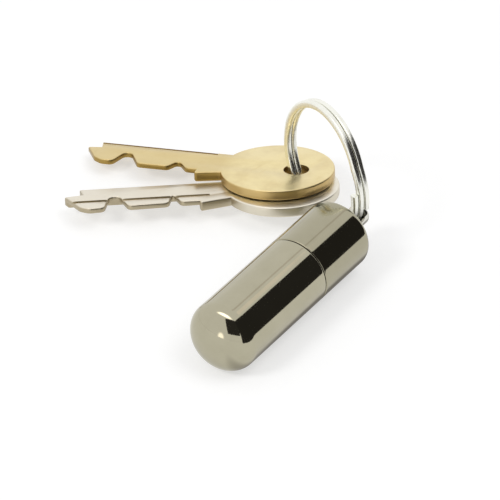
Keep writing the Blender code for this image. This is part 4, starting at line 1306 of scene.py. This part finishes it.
@dataclass
class Keys(Assembly):
    """Two cylinder keys, lying on each other on the ring."""

    on_ring: float = math.radians(-34.4)
    tilt: float = math.radians(12)
    roll: float = math.radians(1.5)
    heading: float = math.radians(34.5)
    thickness: float = 2.2
    stack: float = 2.5
    bow: float = 12.0
    bow_from_hole: float = 4.1
    hole: float = 2.7
    stop_corner: float = 6.6
    stop_round: float = 0.6
    stop_at_bow: float = 4.8
    point: float = 3.2
    point_cut: float = 0.6
    nose: float = 2.9
    nose_drop: float = 1.2
    nose_start: float = 4.7
    nose_round: float = 2.0
    web: float = 1.1
    mill_round: float = 0.25
    groove_width: float = 1.0
    groove_depth: float = 0.35
    cut_round: float = 1.2
    tumbled: float = 0.4
    edge: float = 0.08
    # In each key's colours, wall is partly the sheared edge's own tone and partly painted shade, and cut is
    # painted shade in the cuts
    brass: Blade = field(default_factory=lambda: Blade(
        197.0, 46.4, 2.2, 20.5, -4.4, 4.57, 4.57, -2.4, -3.8,
        ((0.719, 0.671, 0.605, 0.504, 0.0), (0.243, 0.199, 0.161, 0.089, 2.15)),
        {"colour": "F0E0AE", "stain": "D2BB84", "wall": "CBB077", "cut": "A88C4E"},
    ))
    nickel: Blade = field(default_factory=lambda: Blade(
        219.5, 49.3, 3.2, 21.6, -3.3, 6.7, 5.5, 0.7, 3.1,
        ((0.715, 0.672, 0.592, 0.534, 1.3), (0.234, 0.205, 0.181, 0.139, 2.4)),
        {"colour": "EFEADC", "stain": "E2DACA", "wall": "DCD5C3", "cut": "B5A98F"},
    ))

    def build(self) -> None:
        """Model and dress both keys."""
        for name, blade, below, slot in (("brass_key", self.brass, 0, "key_brass"),
                                         ("nickel_key", self.nickel, self.stack, "key_nickel_silver")):
            place = self.place(blade.course, below)
            # Stamped sheet, ground flat along the blade and tumbled soft at the edges, with partly painted
            # shade on its walls and painted shade in its cuts
            metal = Metal("ground_" + slot, gloss=0.35, mark=0.14, mark_depth=0.003, lay=Lay.STRAIGHT,
                          axis=place, stained=0.45, scratches=0.5, **blade.colours).build()
            self.dress(self.key(name + "_cut", blade, place), metal, name, slot, name, angle=40)

    def place(self, course: float, below: float) -> Axis:
        """The frame of a key: at its hole, across to its tip and along up from its face.

        Args:
            course: Where its blade points, in degrees.
            below: How far its upper face is under the ring's point that carries it.

        Returns:
            The frame.
        """
        right = Vector((math.cos(self.roll), 0, math.sin(self.roll)))
        up = Matrix.Rotation(self.heading, 3, "Z") @ right.cross(direction(0, -self.tilt)).normalized()
        flat = Matrix.Rotation(math.radians(course), 3, "Z") @ X_AXIS
        across = (flat - flat.dot(up) * up).normalized()
        ring = SplitRing()
        anchor = ring.point(self.on_ring) - (below + self.thickness / 2) * MM * up
        angle = self.on_ring
        while (ring.point(angle) - anchor).dot(up) > 0:
            angle -= math.radians(0.25)
        return Axis(ring.point(angle), up, across)

    def outline(self, blade: Blade) -> Profile:
        """A key's outline from its hole: bow, stop, cut edge, nose and straight back."""
        near = math.degrees(math.asin(self.stop_at_bow / self.bow))
        far = math.degrees(math.asin(blade.far_edge / self.bow))
        back = blade.length - blade.back_step
        point = blade.far_edge + self.point
        corners = [
            *arc((self.bow_from_hole, 0), self.bow, near, 360 + far, 72),
            (back, blade.far_edge),
            (back - self.point_cut, point - self.point_cut),
            (blade.length, point),
            (blade.length - self.nose, blade.tip_edge - self.nose_drop, self.nose_round),
            (blade.length - self.nose_start, blade.tip_edge, self.nose_round),
        ]
        for tip_side, root_start, root_end, bow_side, root in blade.cuts:
            corners += [
                (*blade.uncut(tip_side), self.cut_round),
                (blade.uncut(root_start)[0], root, self.cut_round),
                (blade.uncut(root_end)[0], root, self.cut_round),
                (*blade.uncut(bow_side), self.cut_round),
            ]
        corners += [(blade.shoulder, blade.shoulder_edge),
                    (blade.shoulder, self.stop_corner, self.stop_round)]
        return rounded(corners, closed=True, steps=5)

    def key(self, name: str, blade: Blade, place: Axis) -> Object:
        """Stamp, drill, mill and groove one key, then soften its edges."""
        key = plate(name, place, self.outline(blade), self.thickness, self.tumbled)
        cut_away(key, drill(place, self.hole, -self.thickness, self.thickness, 96))
        half = self.thickness / 2
        end = blade.length + self.bow_from_hole
        low = (blade.shoulder, -self.thickness, blade.milled_from)
        high = (end, half - self.web, self.stop_corner + self.thickness)
        cut_away(key, cutter_box(place, low, high, self.mill_round))
        side = self.groove_width / 2
        low = (blade.shoulder - self.thickness, half - self.groove_depth, blade.groove_at - side)
        high = (end, self.thickness, blade.groove_at + side)
        cut_away(key, cutter_box(place, low, high))
        soften(key, self.edge)
        return key


@dataclass(frozen=True)
class Card:
    """A rectangle round the table that only shows in gloss.

    Its level is its light: under one it is a dark spot in the white surround, over one a
    bright one. A soft card fades out toward its edges.
    """

    name: str
    middle: tuple[float, float, float]
    size: tuple[float, float]
    faces: tuple[float, float, float]
    level: float
    soft: bool = False

    def build(self) -> None:
        """Place the card, its second side up, or toward Y when it lies flat, and light it."""
        turn = Vector(self.faces).to_track_quat("Z", "Y").to_matrix().to_4x4()
        size = Matrix.Diagonal((self.size[0] * MM, self.size[1] * MM, 1, 1))
        card = square(self.name, Matrix.Translation(Vector(self.middle) * MM) @ turn @ size)
        made, tree = surface(self.name)
        look = add(tree, "Emission", (1, 0.95, 0.92, 1), self.level)
        if self.soft:
            sides = add(tree, "TexCoord").outputs["UV"]
            centred = add(tree, "Mapping", sides, (-1, -1, 0), Scale=(2, 2, 1))
            spot = add(tree, "TexGradient", centred, gradient_type="SPHERICAL").outputs["Fac"]
            fade = add(tree, "MapRange", spot, 0, 0.6, interpolation_type="SMOOTHSTEP")
            look = add(tree, "MixShader", fade, add(tree, "BsdfTransparent"), look)
        feed(tree, tree.nodes["Material Output"], look)
        card.data.materials.append(made)
        card.visible_camera = card.visible_shadow = card.visible_diffuse = False


@dataclass
class Studio:
    """Camera, floor and light: a white table, an even sky, two lamps and the cards."""

    distance: float = 690.0
    elevation: float = math.radians(37.2)
    azimuth: float = math.radians(34.5)
    pixels_per_mm: float = 4.877
    sensor: float = 36.0
    image_pixels: int = 500
    target: Vector = field(default_factory=lambda: Vector((11.15, 3.71, 0)) * MM)
    table: float = 6000.0
    table_drop: float = 0.01
    cards: tuple[Card, ...] = (
        # The gap beside the tent: the capsule's dark band and the ring's dark reflections
        Card("tent_gap", (124, 87, 105), (346, 212), (1, 0, 0), 0.03),
        # The opening for the camera, on the dome beside the band's end
        Card("camera_opening", (253, -327, 347), (393, 470), (-0.4, 0.62, -0.67), 0.04),
        # A seam and a bright panel of the tent: the faint line and the lighter strip by the band
        Card("tent_seam", (-14, 520, 600), (50, 420), (0, 0, 1), 0.8),
        Card("bright_panel", (165, 452, 600), (130, 140), (0, 0, 1), 1.16),
        # A bar light overhead and a window low behind the camera: the dome's two lights
        Card("bar_light", (-80, -195, 612), (700, 200), (0, 0, 1), 3.6, soft=True),
        Card("window", (-8, -633, 32), (200, 280), (0, 1, 0), 2.4, soft=True),
        # The shade right under the capsule's side
        Card("contact_shade", (33.5, -1, 0.02), (10, 90), (0, 0, 1), 0.25, soft=True),
    )

    def build(self) -> None:
        """Set up everything round the object."""
        bpy.context.scene.view_settings.view_transform = "Standard"
        self.camera()
        self.world()
        self.floor()
        for card in self.cards:
            card.build()
        self.lamp("key", Vector((-220, -670, 720)) * MM, 300, 2.6)
        self.lamp("fill", Vector((500, 100, 900)) * MM, 600, 2.0)

    def aimed(self, name: str, data: bpy.types.ID, place: Vector) -> Object:
        """A camera or lamp at a place in metres, turned to the target.

        Args:
            name: Its name.
            data: What kind of camera or lamp it is.
            place: Where it stands.

        Returns:
            The camera or lamp.
        """
        made = bpy.data.objects.new(name, data)
        bpy.context.scene.collection.objects.link(made)
        made.location = place
        made.rotation_euler = (self.target - place).to_track_quat("-Z", "Y").to_euler()
        return made

    def camera(self) -> None:
        """A long lens at the photograph's height and heading."""
        data = bpy.data.cameras.new("camera")
        data.sensor_width = self.sensor
        data.lens = self.pixels_per_mm * self.distance * self.sensor / self.image_pixels
        data.clip_start = 50 * MM
        place = self.target - direction(-self.azimuth, -self.elevation) * self.distance * MM
        bpy.context.scene.camera = self.aimed("camera", data, place)

    def world(self) -> None:
        """A white surround: full white to the camera and in gloss, softer as light."""
        world = bpy.data.worlds.new("surround")
        bpy.context.scene.world = world
        world.use_nodes = True
        tree = world.node_tree
        level = add(tree, "MapRange", sight(tree)[1], To_Min=0.62)
        feed(tree, tree.nodes["Background"], (1, 1, 1, 1), level)

    def floor(self) -> None:
        """A white table that keeps the shadow."""
        size = self.table * MM
        middle = Vector((0, 0, -self.table_drop * MM))
        floor = square("floor", placed(middle, size * X_AXIS, size * Y_AXIS, Z_AXIS))
        made, tree = surface("white_table")
        ray, seen = sight(tree)
        plain = add(tree, "Math", seen, 0.47, operation="MULTIPLY")
        glow = add(tree, "Math", ray, 0.04, plain, operation="MULTIPLY_ADD")
        feed(tree, tree.nodes["Principled BSDF"], "C4C4C4", 0, 1, Specular_IOR_Level=0,
             Emission_Color=(1, 1, 1, 1), Emission_Strength=glow)
        floor.data.materials.append(made)

    def lamp(self, name: str, place: Vector, size: float, power: float) -> None:
        """A soft round lamp of a size and power, aimed at the target and not mirrored."""
        data = bpy.data.lights.new(name, "AREA")
        data.shape = "DISK"
        data.size = size * MM
        data.energy = power
        self.aimed(name, data, place).visible_glossy = False


def main() -> None:
    """Build the studio and every sub-assembly."""
    logging.basicConfig(level=logging.INFO, format="%(name)s %(message)s")
    Studio().build()
    for assembly in (Capsule(), SplitRing(), Insert(), Spark(), Keys()):
        assembly.build()


if __name__ == "__main__":
    main()
